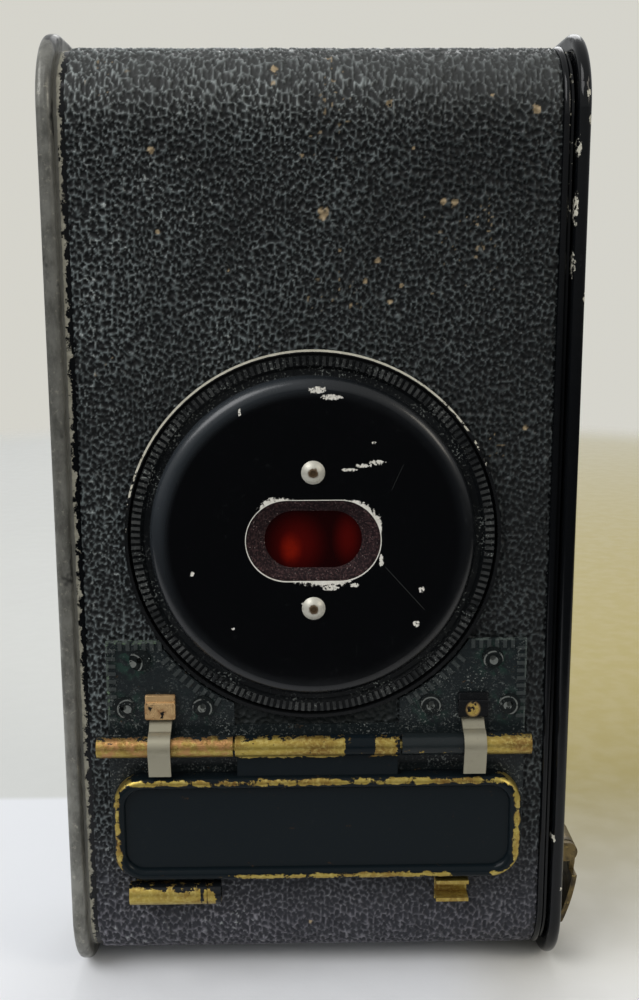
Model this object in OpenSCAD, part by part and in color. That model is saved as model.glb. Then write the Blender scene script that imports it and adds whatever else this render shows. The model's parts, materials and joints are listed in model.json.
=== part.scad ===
// Vest pocket folding camera, closed and standing on its end.
// X runs across the back, Y from the back to the lens, Z up along the body.
// Modules work with y = 0 on the leather of the back; at_origin() moves them to the part's origin.

/* [Body] */
// Room between a spool's end and the side of the shell
end_room = 3.6; // [3.5:0.1:4.2]
// Room between a spool's flange and the shell
spool_room = 0.4; // [0.35:0.05:0.8]
// Corner radius of the rims at both ends
end_r = 9.5; // [8.5:0.25:10.5]
// Width of a rim
rim_w = 1.9; // [1.9:0.05:2.2]
// Radius that rounds the edges of a rim
rim_round = 0.75; // [0.4:0.05:0.75]
// How far the rims stand above the leather at both ends
rim_end_proud = 1.5; // [1:0.1:1.8]
// How far the rims stand above the leather at the back and front
rim_face_proud = 0.8; // [0.5:0.1:1]
// Thickness of the leather
leather_t = 0.4; // [0.3:0.05:0.6]
// Bare band of shell between the leather and a rim
band_w = 1.3; // [1:0.1:1.6]
// Sheet thickness of the shell
shell_t = 0.8; // [0.5:0.1:1]
// Sheet thickness of the side plates
side_t = 0.8; // [0.6:0.1:1]
// Radius of the bead round the right edge of the shell
bead_r = 0.5; // [0.3:0.05:0.55]
// Gap between pieces that move past each other
gap = 0.3; // [0.25:0.01:0.3]
// Radial clearance of a pin in its hole
run = 0.05; // [0.03:0.01:0.08]

/* [Film] */
// Width of the roll film
film_w = 46; // [45:0.1:47]
// Margin of the film beside the picture gate
film_edge = 2; // [1.8:0.1:2.2]
// Height of the picture gate
gate_h = 65; // [60:0.5:66]
// Height of the chamber's plate above and below the gate
gate_margin = 2.4; // [2:0.1:3]
// Distance from the back leather to the film plane
film_y = 3; // [2.8:0.1:3.2]
// Sheet thickness of the film chamber
chamber_t = 0.6; // [0.4:0.1:0.8]
// Depth of the chamber from the film plane to the bellows
chamber_d = 6; // [5:0.5:7]
// How much longer a spool is than the film is wide
spool_over = 7.4; // [7:0.1:8]
// Radius of the spool flanges
spool_r = 10.3; // [9.5:0.1:10.4]
// Radius of the spool core
spool_core_r = 3.6; // [3:0.1:4]
// Thickness of a spool flange
flange_t = 0.6; // [0.4:0.1:0.8]
// Radius of the pins that carry the spools
spool_pin_r = 1.6; // [1.3:0.1:1.8]
// Depth of the pins inside a spool
pin_depth = 2; // [1.5:0.1:2.4]
// Radius of the film guide rails
rail_r = 0.9; // [0.6:0.1:1]

/* [Back disc] */
// Sideways place of the disc's centre
disc_x = -0.4; // [-1:0.1:1]
// Width of the serrated ring beyond the disc
ring_w = 2.4; // [2.2:0.1:2.6]
// Wall thickness of the fixed lip
lip_t = 0.4; // [0.3:0.05:0.5]
// Height of the fixed lip above the leather
lip_h = 0.9; // [0.7:0.05:1.1]
// Width of the smooth valley between the disc and the serrations
valley_w = 1.2; // [1:0.1:1.5]
// Number of ridges round the ring
ridge_n = 172; // [120:4:180]
// Height of the ridges
ridge_h = 0.3; // [0.2:0.05:0.35]
// Top of the ring, between its ridges, above the leather
ring_h = 0.45; // [0.3:0.05:0.5]
// Outer radius of the domed disc
disc_r = 20.1; // [19.5:0.1:20.3]
// Radius of the disc's rounded edge
disc_edge = 1.5; // [1:0.1:1.7]
// Height of the disc's face above the leather
disc_h = 2.2; // [2:0.1:2.5]
// Sheet thickness of the disc
disc_t = 0.6; // [0.4:0.05:0.7]
// Width of the window opening
window_w = 16.5; // [14:0.1:17]
// Height of the window opening
window_h = 10.1; // [8:0.1:10.4]
// Width of the clear red part
glass_w = 11.5; // [10:0.1:12]
// Height of the clear red part
glass_h = 7; // [6:0.1:7.5]
// Distance of each disc rivet from the disc's centre
disc_rivet_z = 8.5; // [8:0.1:9.5]
// Head radius of the disc rivets
disc_rivet_r = 1.45; // [1.2:0.05:1.6]

/* [Writing slot] */
// Distance of the hinge axis below the disc's lip
hinge_room = 3.2; // [3:0.1:3.6]
// Margin of the leather beside the slot plate
plate_side = 2.5; // [2.4:0.1:3]
// Height of the plate's lugs above the hinge axis
plate_up = 13.3; // [12.5:0.1:13.5]
// Height of the plate between its lugs above the hinge axis
neck_up = 2.1; // [2:0.1:2.4]
// Thickness of the plate
plate_sheet = 0.5; // [0.4:0.05:0.6]
// Distance of the hinge axis from the leather
hinge_h = 2.15; // [2.1:0.05:2.3]
// Radius of the hinge barrel
barrel_r = 1.35; // [1.2:0.05:1.35]
// Radius of the hinge pin
hinge_pin_r = 0.6; // [0.5:0.05:0.7]
// Half length of the middle knuckle
knuckle_half = 10.35; // [9:0.1:11]
// Margin of the leather at the barrel's left end
barrel_side_left = 1.3; // [1.2:0.1:2]
// Margin of the leather at the barrel's right end
barrel_side_right = 2; // [1.5:0.1:2.5]
// How far the plate stands out beside the door
door_side = 0.5; // [0.3:0.1:1]
// Height of the door
door_h = 14; // [12:0.1:14.2]
// Distance of the door's top edge below the hinge axis
door_drop = 4; // [4:0.1:4.3]
// Corner radius of the door
door_r = 4; // [3:0.1:5]
// Distance of the door's panel from the leather
panel_h = 2.4; // [2.3:0.05:2.6]
// Sheet thickness of the door
door_t = 0.5; // [0.4:0.05:0.6]
// Radius of the bead round the door
door_bead = 0.8; // [0.6:0.05:0.9]
// Height of the slot that is written through
slot_h = 7; // [6:0.1:7.4]
// Distance of the slot's bottom above the door's lower edge
slot_up = 3.3; // [3:0.1:3.5]
// Distance of a door spring from the plate's side
spring_in = 6.7; // [6:0.1:7.2]
// Width of a door spring
spring_w = 2.8; // [2.4:0.1:3]
// Thickness of a door spring
spring_t = 0.35; // [0.3:0.05:0.4]
// Width of a spring bridge
bridge_w = 3.8; // [3.8:0.1:4.4]

/* [Stylus] */
// Distance of the stylus below the door's lower edge
stylus_drop = 2.1; // [2.1:0.1:2.6]
// Outer radius of the socket tube
socket_r = 1.5; // [1.35:0.05:1.6]
// Radius of the socket's bore
socket_bore = 0.9; // [0.8:0.05:1.1]
// Distance of the socket's closed end from the plate's side
socket_in = 2.3; // [1.5:0.1:3.5]
// Length of the socket tube
socket_len = 9.9; // [9:0.1:11]
// Length of the ring at the socket's mouth
socket_ring = 1.7; // [1.4:0.1:2]
// Distance of the clip's middle from the plate's side
clip_in = 9.1; // [8:0.1:10.5]
// Width of the clip
clip_w = 4.2; // [3.6:0.1:4.6]

/* [Winding key] */
// Radius of the key's shaft
key_r = 2; // [1.7:0.1:2.2]
// Length of the folding blade below its pin
blade_len = 12; // [10:0.25:12.3]
// Width of the blade
blade_w = 8.5; // [7:0.25:10]
// Thickness of the blade
blade_t = 0.7; // [0.5:0.05:0.8]
// Outer radius of the rolled eye
eye_r = 1.35; // [1.2:0.05:1.4]
// Radius of the pin through the eye
key_pin_r = 0.6; // [0.5:0.05:0.65]

/* [Lazy tongs] */
// Length of a bar between its end pivots
bar_len = 58; // [57:0.25:58.5]
// Width of a bar
bar_w = 3.5; // [3:0.1:3.7]
// Thickness of a bar and of its brackets
bar_t = 0.8; // [0.6:0.05:0.9]
// Distance of the front pivots behind the front plate
front_pivot_d = 3.5; // [3.2:0.1:3.6]
// Radius of the pivot pins
bar_pin_r = 0.7; // [0.5:0.05:0.8]
// How far the front pulls out
travel = 60; // [55:0.5:62]
// Distance of the rear pivots from the film plane
rear_pivot_d = 8.3; // [8.2:0.1:8.6]

/* [Front] */
// Distance of the front plate's side from the shell's side
front_side = 0.9; // [0.7:0.1:2]
// Margin of the front plate at both ends of the body
front_margin = 14; // [13:0.1:15]
// Thickness of the front plate
front_t = 0.8; // [0.6:0.05:1]
// Corner radius of the front plate
front_r = 5; // [4:0.25:8]
// Clear radius of the largest stop
stop_r = 2.2; // [1.8:0.1:2.4]
// Depth of the shutter case
case_d = 3.8; // [3.6:0.1:4.2]
// Wall thickness of the shutter case
case_t = 0.7; // [0.5:0.05:0.8]
// Outer radius of the lens barrel
barrel_lens_r = 5.2; // [4.8:0.1:5.3]
// Clear radius of the lens
lens_r = 4.2; // [3.6:0.1:4.3]
// How far the lens barrel stands out of the shutter face
barrel_out = 3; // [2.4:0.1:3.4]
// Distance of the aperture disc's pivot below the lens axis
aperture_d = 7.4; // [7.3:0.1:7.5]
// Distance of the shutter blades' pins from the lens axis
blade_pin_d = 9.5; // [9:0.1:10]
// Radius of the slip-on rim at the front of the barrel
lens_rim_r = 7.5; // [7.2:0.1:8]
// Width of the finder body
finder_w = 12; // [10:0.5:12.5]
// Depth of the finder body
finder_d = 6.5; // [6:0.25:8]
// Distance of the finder's pivot from the front plate's side
finder_in = 10.4; // [9.4:0.1:11.4]
// Distance of the finder's pivot above the lens axis
finder_z = 31; // [29:0.25:32]
// Length of the folding foot
foot_len = 15.4; // [14:0.1:15.4]
// Width of the folding foot
foot_w = 9; // [7:0.25:11]

/* [Hidden] */
$fn = 72;
// A tiny overreach for cutters, so that no cut ends on a face
cut = 0.5;

// The body is as wide, as thick and as high as its spools and its picture gate need
gate_w = film_w - 2 * film_edge;
spool_len = film_w + spool_over;
x_shell = spool_len / 2 + end_room;
body_w = 2 * (x_shell + rim_w);
body_t = 2 * (spool_r + spool_room + shell_t + leather_t + rim_face_proud);
spool_z = rim_end_proud + leather_t + shell_t + spool_r + 1.25 * spool_room;
divider_z = spool_z + spool_r + 4.5 * spool_room;
body_h = gate_h + 2 * (divider_z + gate_margin);
mid_z = body_h / 2;

// The body's outlines, from the rims inwards
rim_y0 = -rim_face_proud;
rim_y1 = body_t - rim_face_proud;
x_leather = x_shell - band_w;
leather_y1 = rim_y1 - rim_face_proud;
leather_r = end_r - rim_face_proud;
shell_y0 = leather_t;
shell_y1 = leather_y1 - leather_t;
shell_z0 = rim_end_proud + leather_t;
inner_y0 = shell_y0 + shell_t;
inner_y1 = shell_y1 - shell_t;
inner_z0 = shell_z0 + shell_t;

// Spools lie centred in the shell's thickness, one at each end
spool_y = (inner_y0 + inner_y1) / 2;
bore_r = spool_pin_r + run;
chamber_x = x_leather;
chamber_y1 = film_y + chamber_d;

// The key stands on the take-up spool's axis
cover_x = x_shell + gap;
key_face_x = cover_x + side_t;
key_axis_x = body_w / 2 + gap + blade_t + 2 * eye_r - 1;
key_reach = key_axis_x + eye_r;
// The blade bows so that its tip just clears the rim
blade_drop = key_reach - blade_t - (body_w / 2 + gap);
blade_bow = (blade_len * blade_len + blade_drop * blade_drop) / (2 * blade_drop) + blade_t;
tongue_t = 1.3;
tongue_w = 5;
tongue_in = 1.7;

// The disc is centred on the picture gate
disc_z = mid_z;
ring_out_r = disc_r + ring_w;
ridge_in_r = disc_r + valley_w;
lip_r = ring_out_r + gap + lip_t;
disc_hole_r = disc_r + gap;
tab_r = disc_hole_r + 1.4;
tab_span = 24;
tab_t = 0.4;
disc_wall_h = shell_y0 + shell_t + gap + tab_t;
notch_span = tab_span + 6;
notch_turn = 45;
shank_r = 0.6;

// The writing slot's pieces hang below the disc
plate_half = x_leather - plate_side;
barrel_left = x_leather - barrel_side_left;
barrel_right = x_leather - barrel_side_right;
hinge_z = disc_z - lip_r - hinge_room;
plate_top = hinge_z + plate_up;
plate_mid = hinge_z + neck_up;
door_w = 2 * (plate_half - door_side);
door_top = hinge_z - door_drop;
door_z = door_top - door_h / 2;
slot_w = gate_w;
slot_low = door_top - door_h + slot_up;
plate_low = slot_low - 2 * plate_sheet;
spring_x = plate_half - spring_in;
stylus_z = door_top - door_h - stylus_drop;
socket_left = plate_half - socket_in;
clip_x = plate_half - clip_in;
// The stylus slides in over the rim
stylus_h = rim_face_proud + socket_bore + 0.2;
rivet_head_r = 1.35;
spring_gap = gap;
spring_in_r = barrel_r + spring_gap;

// The bars lie in two layers beside the bellows
x_front_bracket = gate_w / 2 + 3.4;
x_inner_bar = x_front_bracket + bar_t + gap;
x_outer_bar = x_inner_bar + bar_t + gap;
x_body_bracket = x_outer_bar + bar_t + gap;
rear_y = film_y + rear_pivot_d;
front_y0 = leather_y1 + gap;
front_pivot_y = front_y0 - front_pivot_d;
cell_d = (front_pivot_y - rear_y) / 2;
bar_rest = asin(cell_d / bar_len);
pivot_z0 = mid_z - bar_len * cos(bar_rest) / 2;
bar_open = asin(sin(bar_rest) + travel / (2 * bar_len));
slot_high_z = pivot_z0 + bar_len * cos(bar_rest);
slot_low_z = pivot_z0 + bar_len * cos(bar_open);

// The front plate lies just off the leather of the front
front_half = x_shell - front_side;
front_y1 = front_y0 + front_t;
case_y1 = front_y1 + case_d;
face_t = 0.6;
face_y1 = case_y1 + face_t;
barrel_y1 = face_y1 + barrel_out;
stop_d = aperture_d + stop_r + 0.4;
case_r = aperture_d + stop_d + gap + 0.1 + case_t;
finder_x = front_half - finder_in;
bellows_y0 = chamber_y1 + 0.8;
bellows_y1 = front_y0 - 0.8;
bellows_n = 7;
// Outside and opening of the frame at the bellows' narrow end
neck_out = [30, 42];
neck_in = [22, 30];
// The box around the whole part, which sets the origin
finder_base = 0.5;
finder_y0 = front_y1 + finder_base + gap;
box_y0 = -max(panel_h + door_bead, hinge_h + spring_in_r + spring_t, stylus_h + socket_r);
box_y1 = max(barrel_y1, finder_y0 + finder_d);
place_x = -(key_reach - body_w / 2) / 2;
place_y = -(box_y1 + box_y0) / 2;

module at_origin() {
  translate([place_x, place_y, 0]) children();
}

// 2D outline of a rectangle with rounded corners
module round_rect(w, h, r) {
  square([w - 2 * r, h], center = true);
  square([w, h - 2 * r], center = true);
  for (sx = [-1, 1], sy = [-1, 1])
    translate([sx * (w / 2 - r), sy * (h / 2 - r)]) circle(r);
}

// 2D oval with straight long sides and round ends
module oval(w, h) {
  square([w - h, h], center = true);
  for (s = [-1, 1]) translate([s * (w - h) / 2, 0]) circle(h / 2);
}

// Extrudes a (y, z) outline along X
module along_x(x0, x1) {
  translate([x0, 0, 0]) rotate([90, 0, 90]) linear_extrude(height = x1 - x0) children();
}

// A body outline in (y, z), inset from the rims
module body_outline(y0, y1, z0, r) {
  translate([(y0 + y1) / 2, mid_z]) round_rect(y1 - y0, body_h - 2 * z0, r);
}

// Local frame of the back: x across, y up, z out of the back, zero on the leather
module on_back() {
  rotate([90, 0, 0]) children();
}

// Local frame of the front: x as a viewer in front sees it, z out of the front
module on_front(y) {
  translate([0, y, 0]) rotate([90, 0, 180]) children();
}

module rod_x(r, x0, x1, y, z) {
  translate([x0, y, z]) rotate([0, 90, 0]) cylinder(r = r, h = x1 - x0);
}

// A block between two heights of the local frame
module raise(h0, h1) {
  translate([0, 0, h0]) linear_extrude(height = h1 - h0) children();
}

// Carries a profile round a rounded rectangle that is w by h with corner radius r.
// The profile's x is measured from the centre of a corner, its y is along the local z.
module loop(w, h, r) {
  a = w / 2 - r;
  b = h / 2 - r;
  for (i = [0 : 3]) {
    p = (i % 2 == 0) ? [a, b] : [b, a];
    rotate([0, 0, 90 * i]) translate([p[0], p[1], 0]) {
      rotate([90, 0, 0]) linear_extrude(height = 2 * p[1]) children();
      rotate_extrude(angle = 90) children();
    }
  }
}

// A rim: a rounded band round the body outline from x0 to x1
module rim(x0, x1) {
  depth = rim_end_proud + leather_t + shell_t;
  translate([0, (rim_y0 + rim_y1) / 2, mid_z]) rotate([90, 0, 90])
    loop(body_t, body_h, end_r) {
      translate([end_r - depth, x0]) square([depth - rim_round, x1 - x0]);
      translate([end_r - rim_round - 0.01, x0 + rim_round])
        square([rim_round + 0.01, x1 - x0 - 2 * rim_round]);
      for (x = [x0 + rim_round, x1 - rim_round])
        translate([end_r - rim_round, x]) circle(rim_round);
    }
}

// Shanks of the slot plate's rivets, also used as cutters
module plate_rivet_places() {
  for (s = [-1, 1], p = [[-4.3, 10.9], [-2, 4.7], [-12.1, 4.8]])
    translate([s * (plate_half + p[0]), hinge_z + p[1], 0]) children();
}

module slot_cut(h0, h1) {
  on_back() translate([0, slot_low + slot_h / 2, 0]) raise(h0, h1)
    round_rect(slot_w, slot_h, 1);
}

module rivet_cut(h0, h1) {
  on_back() plate_rivet_places() translate([0, 0, h0]) cylinder(r = shank_r, h = h1 - h0);
}

module at_disc() {
  translate([disc_x, 0, disc_z]) on_back() children();
}

module body_shell() {
  color("#141416") difference() {
    union() {
      along_x(-x_shell, x_shell) difference() {
        body_outline(shell_y0, shell_y1, shell_z0, leather_r - leather_t);
        body_outline(inner_y0, inner_y1, inner_z0, leather_r - leather_t - shell_t);
      }
      translate([0, (shell_y0 + shell_y1) / 2, mid_z]) rotate([90, 0, 90])
        loop(shell_y1 - shell_y0, body_h - 2 * shell_z0, leather_r - leather_t)
          translate([leather_r - leather_t, x_shell - gap - bead_r]) circle(bead_r);
    }
    at_disc() {
      translate([0, 0, -inner_y0 - cut]) cylinder(r = disc_hole_r, h = inner_y0 + 2 * cut);
      for (i = [0 : 2]) rotate([0, 0, 120 * i + notch_turn]) translate([0, 0, -inner_y0 - cut])
        rotate_extrude(angle = notch_span) square([tab_r + gap, inner_y0 + 2 * cut]);
    }
    slot_cut(-inner_y0 - cut, cut);
    rivet_cut(-inner_y0 - cut, cut);
    translate([-x_leather, inner_y1 - cut, divider_z + chamber_t])
      cube([2 * x_leather, shell_t + 3 * cut, body_h - 2 * (divider_z + chamber_t)]);
  }
}

module leather_cover() {
  color("#26272b") difference() {
    along_x(-x_leather, x_leather) difference() {
      body_outline(0, leather_y1, rim_end_proud, leather_r);
      body_outline(shell_y0, shell_y1, shell_z0, leather_r - leather_t);
    }
    at_disc() translate([0, 0, -leather_t - cut]) cylinder(r = lip_r, h = leather_t + 2 * cut);
    slot_cut(-leather_t - cut, cut);
    rivet_cut(-leather_t - cut, cut);
    translate([-x_leather - cut, shell_y1 - cut, divider_z + chamber_t])
      cube([2 * (x_leather + cut), leather_t + 2 * cut, body_h - 2 * (divider_z + chamber_t)]);
  }
}

// The web that closes a side, inside its rim
module side_web(x0, x1) {
  inset = rim_round;
  along_x(x0, x1)
    body_outline(rim_y0 + inset, rim_y1 - inset, inset, end_r - inset);
}

module side_plate_left() {
  color("#55504a") {
    rim(-body_w / 2, -x_shell);
    side_web(-x_shell - side_t, -x_shell);
  }
}

// A pin with a collar that carries one end of a spool
module spool_pin(x_base, z) {
  s = sign(x_base);
  x_tip = s * (spool_len / 2 - pin_depth);
  x_collar = s * (spool_len / 2 + gap);
  collar_r = spool_pin_r + 1.4;
  rod_x(spool_pin_r, min(x_base, x_tip), max(x_base, x_tip), spool_y, z);
  rod_x(collar_r, min(x_base, x_collar), max(x_base, x_collar), spool_y, z);
}

module spool_pins_left() {
  color("silver") for (z = [spool_z, body_h - spool_z]) spool_pin(-x_shell, z);
}

module spool_pin_right() {
  color("silver") spool_pin(cover_x, body_h - spool_z);
}

module film_chamber() {
  color("#1b1b1d") difference() {
    union() {
      translate([-chamber_x, film_y, divider_z])
        cube([2 * chamber_x, chamber_t, body_h - 2 * divider_z]);
      for (z = [divider_z, body_h - divider_z - chamber_t])
        translate([-chamber_x, film_y, z]) cube([2 * chamber_x, inner_y1 - film_y, chamber_t]);
      translate([-gate_w / 2 - chamber_t, film_y, mid_z - gate_h / 2 - chamber_t])
        cube([gate_w + 2 * chamber_t, chamber_d, gate_h + 2 * chamber_t]);
    }
    translate([-gate_w / 2, film_y - cut, mid_z - gate_h / 2])
      cube([gate_w, chamber_d + 2 * cut, gate_h]);
  }
}

module film_guide_rails() {
  color("silver") for (z = [divider_z - rail_r, body_h - divider_z + rail_r])
    rod_x(rail_r, -x_shell, chamber_x, film_y + rail_r, z);
}

// A bowed leaf on each divider, which keeps the rolled film from springing loose
module spool_springs() {
  bow_r = 9;
  leaf_t = 0.3;
  leaf_w = 8;
  reach = 1.3;
  color("#b9b4a8") for (m = [0, 1]) translate([0, 0, m * body_h]) mirror([0, 0, m])
    along_x(-leaf_w / 2, leaf_w / 2) translate([spool_y, divider_z]) {
      intersection() {
        translate([0, bow_r - reach - leaf_t]) difference() {
          circle(bow_r);
          circle(bow_r - leaf_t);
        }
        translate([-8, -reach - leaf_t]) square([16, reach + leaf_t]);
      }
    }
}

// A spool: two flanges and a core with a bore at each end
module spool(z, keyed) {
  difference() {
    translate([-spool_len / 2, spool_y, z]) rotate([0, 90, 0]) {
      cylinder(r = spool_core_r, h = spool_len);
      cylinder(r = spool_r, h = flange_t);
      translate([0, 0, spool_len - flange_t]) cylinder(r = spool_r, h = flange_t);
    }
    rod_x(bore_r, -spool_len / 2 - cut, -spool_len / 2 + pin_depth + gap, spool_y, z);
    if (keyed)
      translate([spool_len / 2 - tongue_in - gap, spool_y - tongue_t / 2 - gap,
        z - tongue_w / 2 - gap]) cube([tongue_in + gap + cut, tongue_t + 2 * gap,
        tongue_w + 2 * gap]);
    else
      rod_x(bore_r, spool_len / 2 - pin_depth - gap, spool_len / 2 + cut, spool_y, z);
  }
}

module supply_spool() {
  color("#8a2f22") spool(body_h - spool_z, false);
}

module takeup_spool() {
  color("#2c2c2e") spool(spool_z, true);
}

module disc_lip() {
  color("#222226") at_disc() translate([0, 0, -shell_y0]) difference() {
    cylinder(r = lip_r, h = shell_y0 + lip_h);
    translate([0, 0, -cut]) cylinder(r = lip_r - lip_t, h = shell_y0 + lip_h + 2 * cut);
  }
}

// Outline of the serrated track: teeth from the inner to the outer radius
module ridge_outline() {
  polygon([for (i = [0 : ridge_n - 1], k = [0 : 3])
    let (a = 360 / ridge_n * (i + [0, 0.02, 0.5, 0.52][k]), r = k == 0 || k == 3
      ? ridge_in_r : ring_out_r - 0.1) [r * cos(a), r * sin(a)]]);
}

module serrated_ring() {
  valley_h = 0.15;
  base_h = shell_y0 - 0.1;
  color("#18181a") at_disc() {
    rotate_extrude($fn = 144) polygon([[disc_r, -base_h], [ring_out_r, -base_h],
      [ring_out_r, ring_h], [ridge_in_r, ring_h], [ridge_in_r - 0.4, valley_h],
      [disc_r, valley_h]]);
    difference() {
      raise(ring_h - 0.1, ring_h + ridge_h) ridge_outline();
      translate([0, 0, ring_h - 0.1 - cut]) cylinder(r = ridge_in_r + 0.01, h = 1 + 2 * cut);
    }
  }
}

// Half section of a pan with a rounded edge, r wide and h high, down to depth
module pan_section(r, h, edge, depth) {
  translate([0, -depth]) square([r - edge, h + depth]);
  translate([0, -depth]) square([r, h + depth - edge]);
  translate([r - edge, h - edge]) circle(edge);
}

module back_disc() {
  color("#0b0b0d") at_disc() difference() {
    union() {
      rotate_extrude($fn = 144) difference() {
        pan_section(disc_r, disc_h, disc_edge, disc_wall_h);
        pan_section(disc_r - disc_t, disc_h - disc_t, disc_edge - disc_t, disc_wall_h + cut);
        translate([-disc_r - cut, -disc_r]) square([disc_r + cut, 2 * disc_r]);
      }
      for (i = [0 : 2]) rotate([0, 0, 120 * i]) translate([0, 0, -disc_wall_h])
        rotate_extrude(angle = tab_span) translate([disc_r - disc_t, 0])
          square([tab_r - disc_r + disc_t, tab_t]);
    }
    raise(0, disc_h + cut) oval(window_w, window_h);
    for (s = [-1, 1]) translate([0, s * disc_rivet_z, 0]) cylinder(r = shank_r, h = 2 * disc_h);
  }
}

module window_frame() {
  color("#3a2420") at_disc() difference() {
    raise(1, disc_h - 0.2) oval(window_w, window_h);
    translate([0, 0, disc_h - 0.15]) mirror([0, 0, 1])
      linear_extrude(height = 1.3, slices = 1, $fn = 40,
        scale = [glass_w / window_w, glass_h / window_h])
          oval(window_w - 0.6, window_h - 0.6);
  }
}

module red_window() {
  color("#5a0505") at_disc() raise(0.4, 1) oval(window_w - 1, window_h - 1);
}

module window_retainer() {
  color("#2a2a2c") at_disc() difference() {
    raise(0, 0.4) round_rect(window_w, 2 * disc_rivet_z + 5, 2);
    raise(-cut, 1) oval(glass_w, glass_h);
    for (s = [-1, 1]) translate([0, s * disc_rivet_z, -cut]) cylinder(r = shank_r, h = 2);
  }
}

module disc_rivets() {
  dome = 0.7;
  dimple_r = 0.35;
  ball = (disc_rivet_r * disc_rivet_r + dome * dome) / (2 * dome);
  color("#cfc6ae") at_disc() for (s = [-1, 1]) translate([0, s * disc_rivet_z, 0]) {
    cylinder(r = shank_r, h = disc_h);
    difference() {
      translate([0, 0, disc_h + dome - ball]) sphere(ball);
      translate([-ball - cut, -ball - cut, disc_h - 2 * (ball + cut)])
        cube(2 * (ball + cut));
      translate([0, 0, disc_h + dome - 0.2]) cylinder(r = dimple_r, h = 1);
    }
  }
}

module slot_plate() {
  curve_r = lip_r + 0.4;
  tooth_t = 0.5;
  tooth_len = 1.2;
  tooth_h = 0.15;
  lug_in = plate_half - 7.8;
  neck_half = 10.5;
  web_h = 1.6;
  top_h = plate_sheet + tooth_h;
  color("#17191a") difference() {
    union() {
      on_back() raise(0, plate_sheet) difference() {
        translate([-plate_half, plate_low]) square([2 * plate_half, plate_top - plate_low]);
        translate([disc_x, disc_z]) circle(curve_r);
        translate([-neck_half, plate_mid]) square([2 * neck_half, plate_top]);
      }
      on_back() for (s = [-1, 1]) {
        for (z = [plate_mid + 1 : 1 : plate_top - 0.6])
          translate([s * (plate_half - tooth_len / 2), z, top_h / 2])
            cube([tooth_len, tooth_t, top_h], center = true);
        for (x = [lug_in + 1 : 1 : plate_half - 1.4])
          translate([s * x, plate_top - tooth_len / 2, top_h / 2])
            cube([tooth_t, tooth_len, top_h], center = true);
        translate([disc_x, disc_z, 0]) for (a = [-57 : 2.5 : -36])
          rotate([0, 0, s > 0 ? a - 3 : 180 - a + 3])
            translate([curve_r + tooth_len / 2 + 0.1, 0, top_h / 2])
              cube([tooth_len, tooth_t, top_h], center = true);
      }
      for (x = [[-barrel_left, -knuckle_half - gap], [knuckle_half + gap, barrel_right]]) {
        rod_x(barrel_r, x[0], x[1], -hinge_h, hinge_z);
        translate([max(x[0], -plate_half), -hinge_h, hinge_z - web_h / 2])
          cube([min(x[1], plate_half) - max(x[0], -plate_half), hinge_h - 0.1, web_h]);
      }
    }
    slot_cut(-cut, plate_sheet + cut);
    rivet_cut(-cut, plate_sheet + cut);
    on_back() plate_rivet_places() translate([0, 0, plate_sheet])
      cylinder(r = rivet_head_r + 0.05, h = 1);
    rod_x(hinge_pin_r, -barrel_left - cut, barrel_right + cut, -hinge_h, hinge_z);
  }
}

module plate_rivets() {
  head_h = 0.35;
  hollow_r = 0.4;
  color("#4a4d48") on_back() plate_rivet_places() difference() {
    union() {
      translate([0, 0, -inner_y0]) cylinder(r = shank_r, h = inner_y0 + plate_sheet);
      translate([0, 0, plate_sheet]) cylinder(r = rivet_head_r, h = head_h);
    }
    translate([0, 0, plate_sheet - 0.1]) cylinder(r = hollow_r, h = head_h + cut);
  }
}

module door_hinge_pin() {
  color("#a8842f")
    rod_x(hinge_pin_r, -barrel_left, barrel_right, -hinge_h, hinge_z);
}

module slot_door() {
  skirt_h = plate_sheet + gap;
  web_half = knuckle_half - 0.2;
  color("#15171a") difference() {
    union() {
      on_back() translate([0, door_z, 0]) {
        raise(panel_h - door_t, panel_h) round_rect(door_w, door_h, door_r);
        raise(skirt_h, panel_h - door_t / 2) difference() {
          round_rect(door_w, door_h, door_r);
          round_rect(door_w - 2 * door_t, door_h - 2 * door_t, door_r - door_t);
        }
        loop(door_w, door_h, door_r) intersection() {
          translate([door_r - door_bead, panel_h]) circle(door_bead);
          translate([door_r - 2 * door_bead, panel_h - 0.2])
            square([2 * door_bead, door_bead + 0.2]);
        }
      }
      on_back() translate([-web_half, door_top - door_t, panel_h - door_t])
        cube([2 * web_half, hinge_z - door_top + door_t, door_t]);
      rod_x(barrel_r, -knuckle_half, knuckle_half, -hinge_h, hinge_z);
    }
    rod_x(hinge_pin_r + run, -knuckle_half - cut, knuckle_half + cut, -hinge_h, hinge_z);
  }
}

// A leaf that lies on the plate, bends over the barrel and ends just above the door
module door_springs() {
  r0 = spring_in_r;
  r1 = spring_in_r + spring_t;
  foot_z0 = plate_mid + 0.3;
  foot_z1 = plate_mid + 3.3;
  tip_r = hinge_z - door_top - 0.45;
  color("#c9c3b5") for (s = [-1, 1])
    along_x(s * spring_x - spring_w / 2, s * spring_x + spring_w / 2) {
      translate([-plate_sheet - spring_t, foot_z0]) square([spring_t, foot_z1 - foot_z0]);
      polygon([[-plate_sheet, foot_z0 + 0.4], [-plate_sheet - spring_t, foot_z0 + 0.6],
        [-hinge_h, hinge_z + r1], [-hinge_h, hinge_z + r0], [-plate_sheet - 0.1, foot_z0]]);
      intersection() {
        translate([-hinge_h, hinge_z]) difference() {
          circle(r1);
          circle(r0);
        }
        translate([-hinge_h - 2 * r1, hinge_z - 0.6]) square([2 * r1, 4 * r1]);
      }
      translate([-hinge_h, hinge_z]) polygon([[-r1 * 0.95, -0.55], [-r0 * 0.93, -0.6],
        [-0.9, -tip_r + 0.2], [-1.2, -tip_r]]);
    }
}

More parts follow.
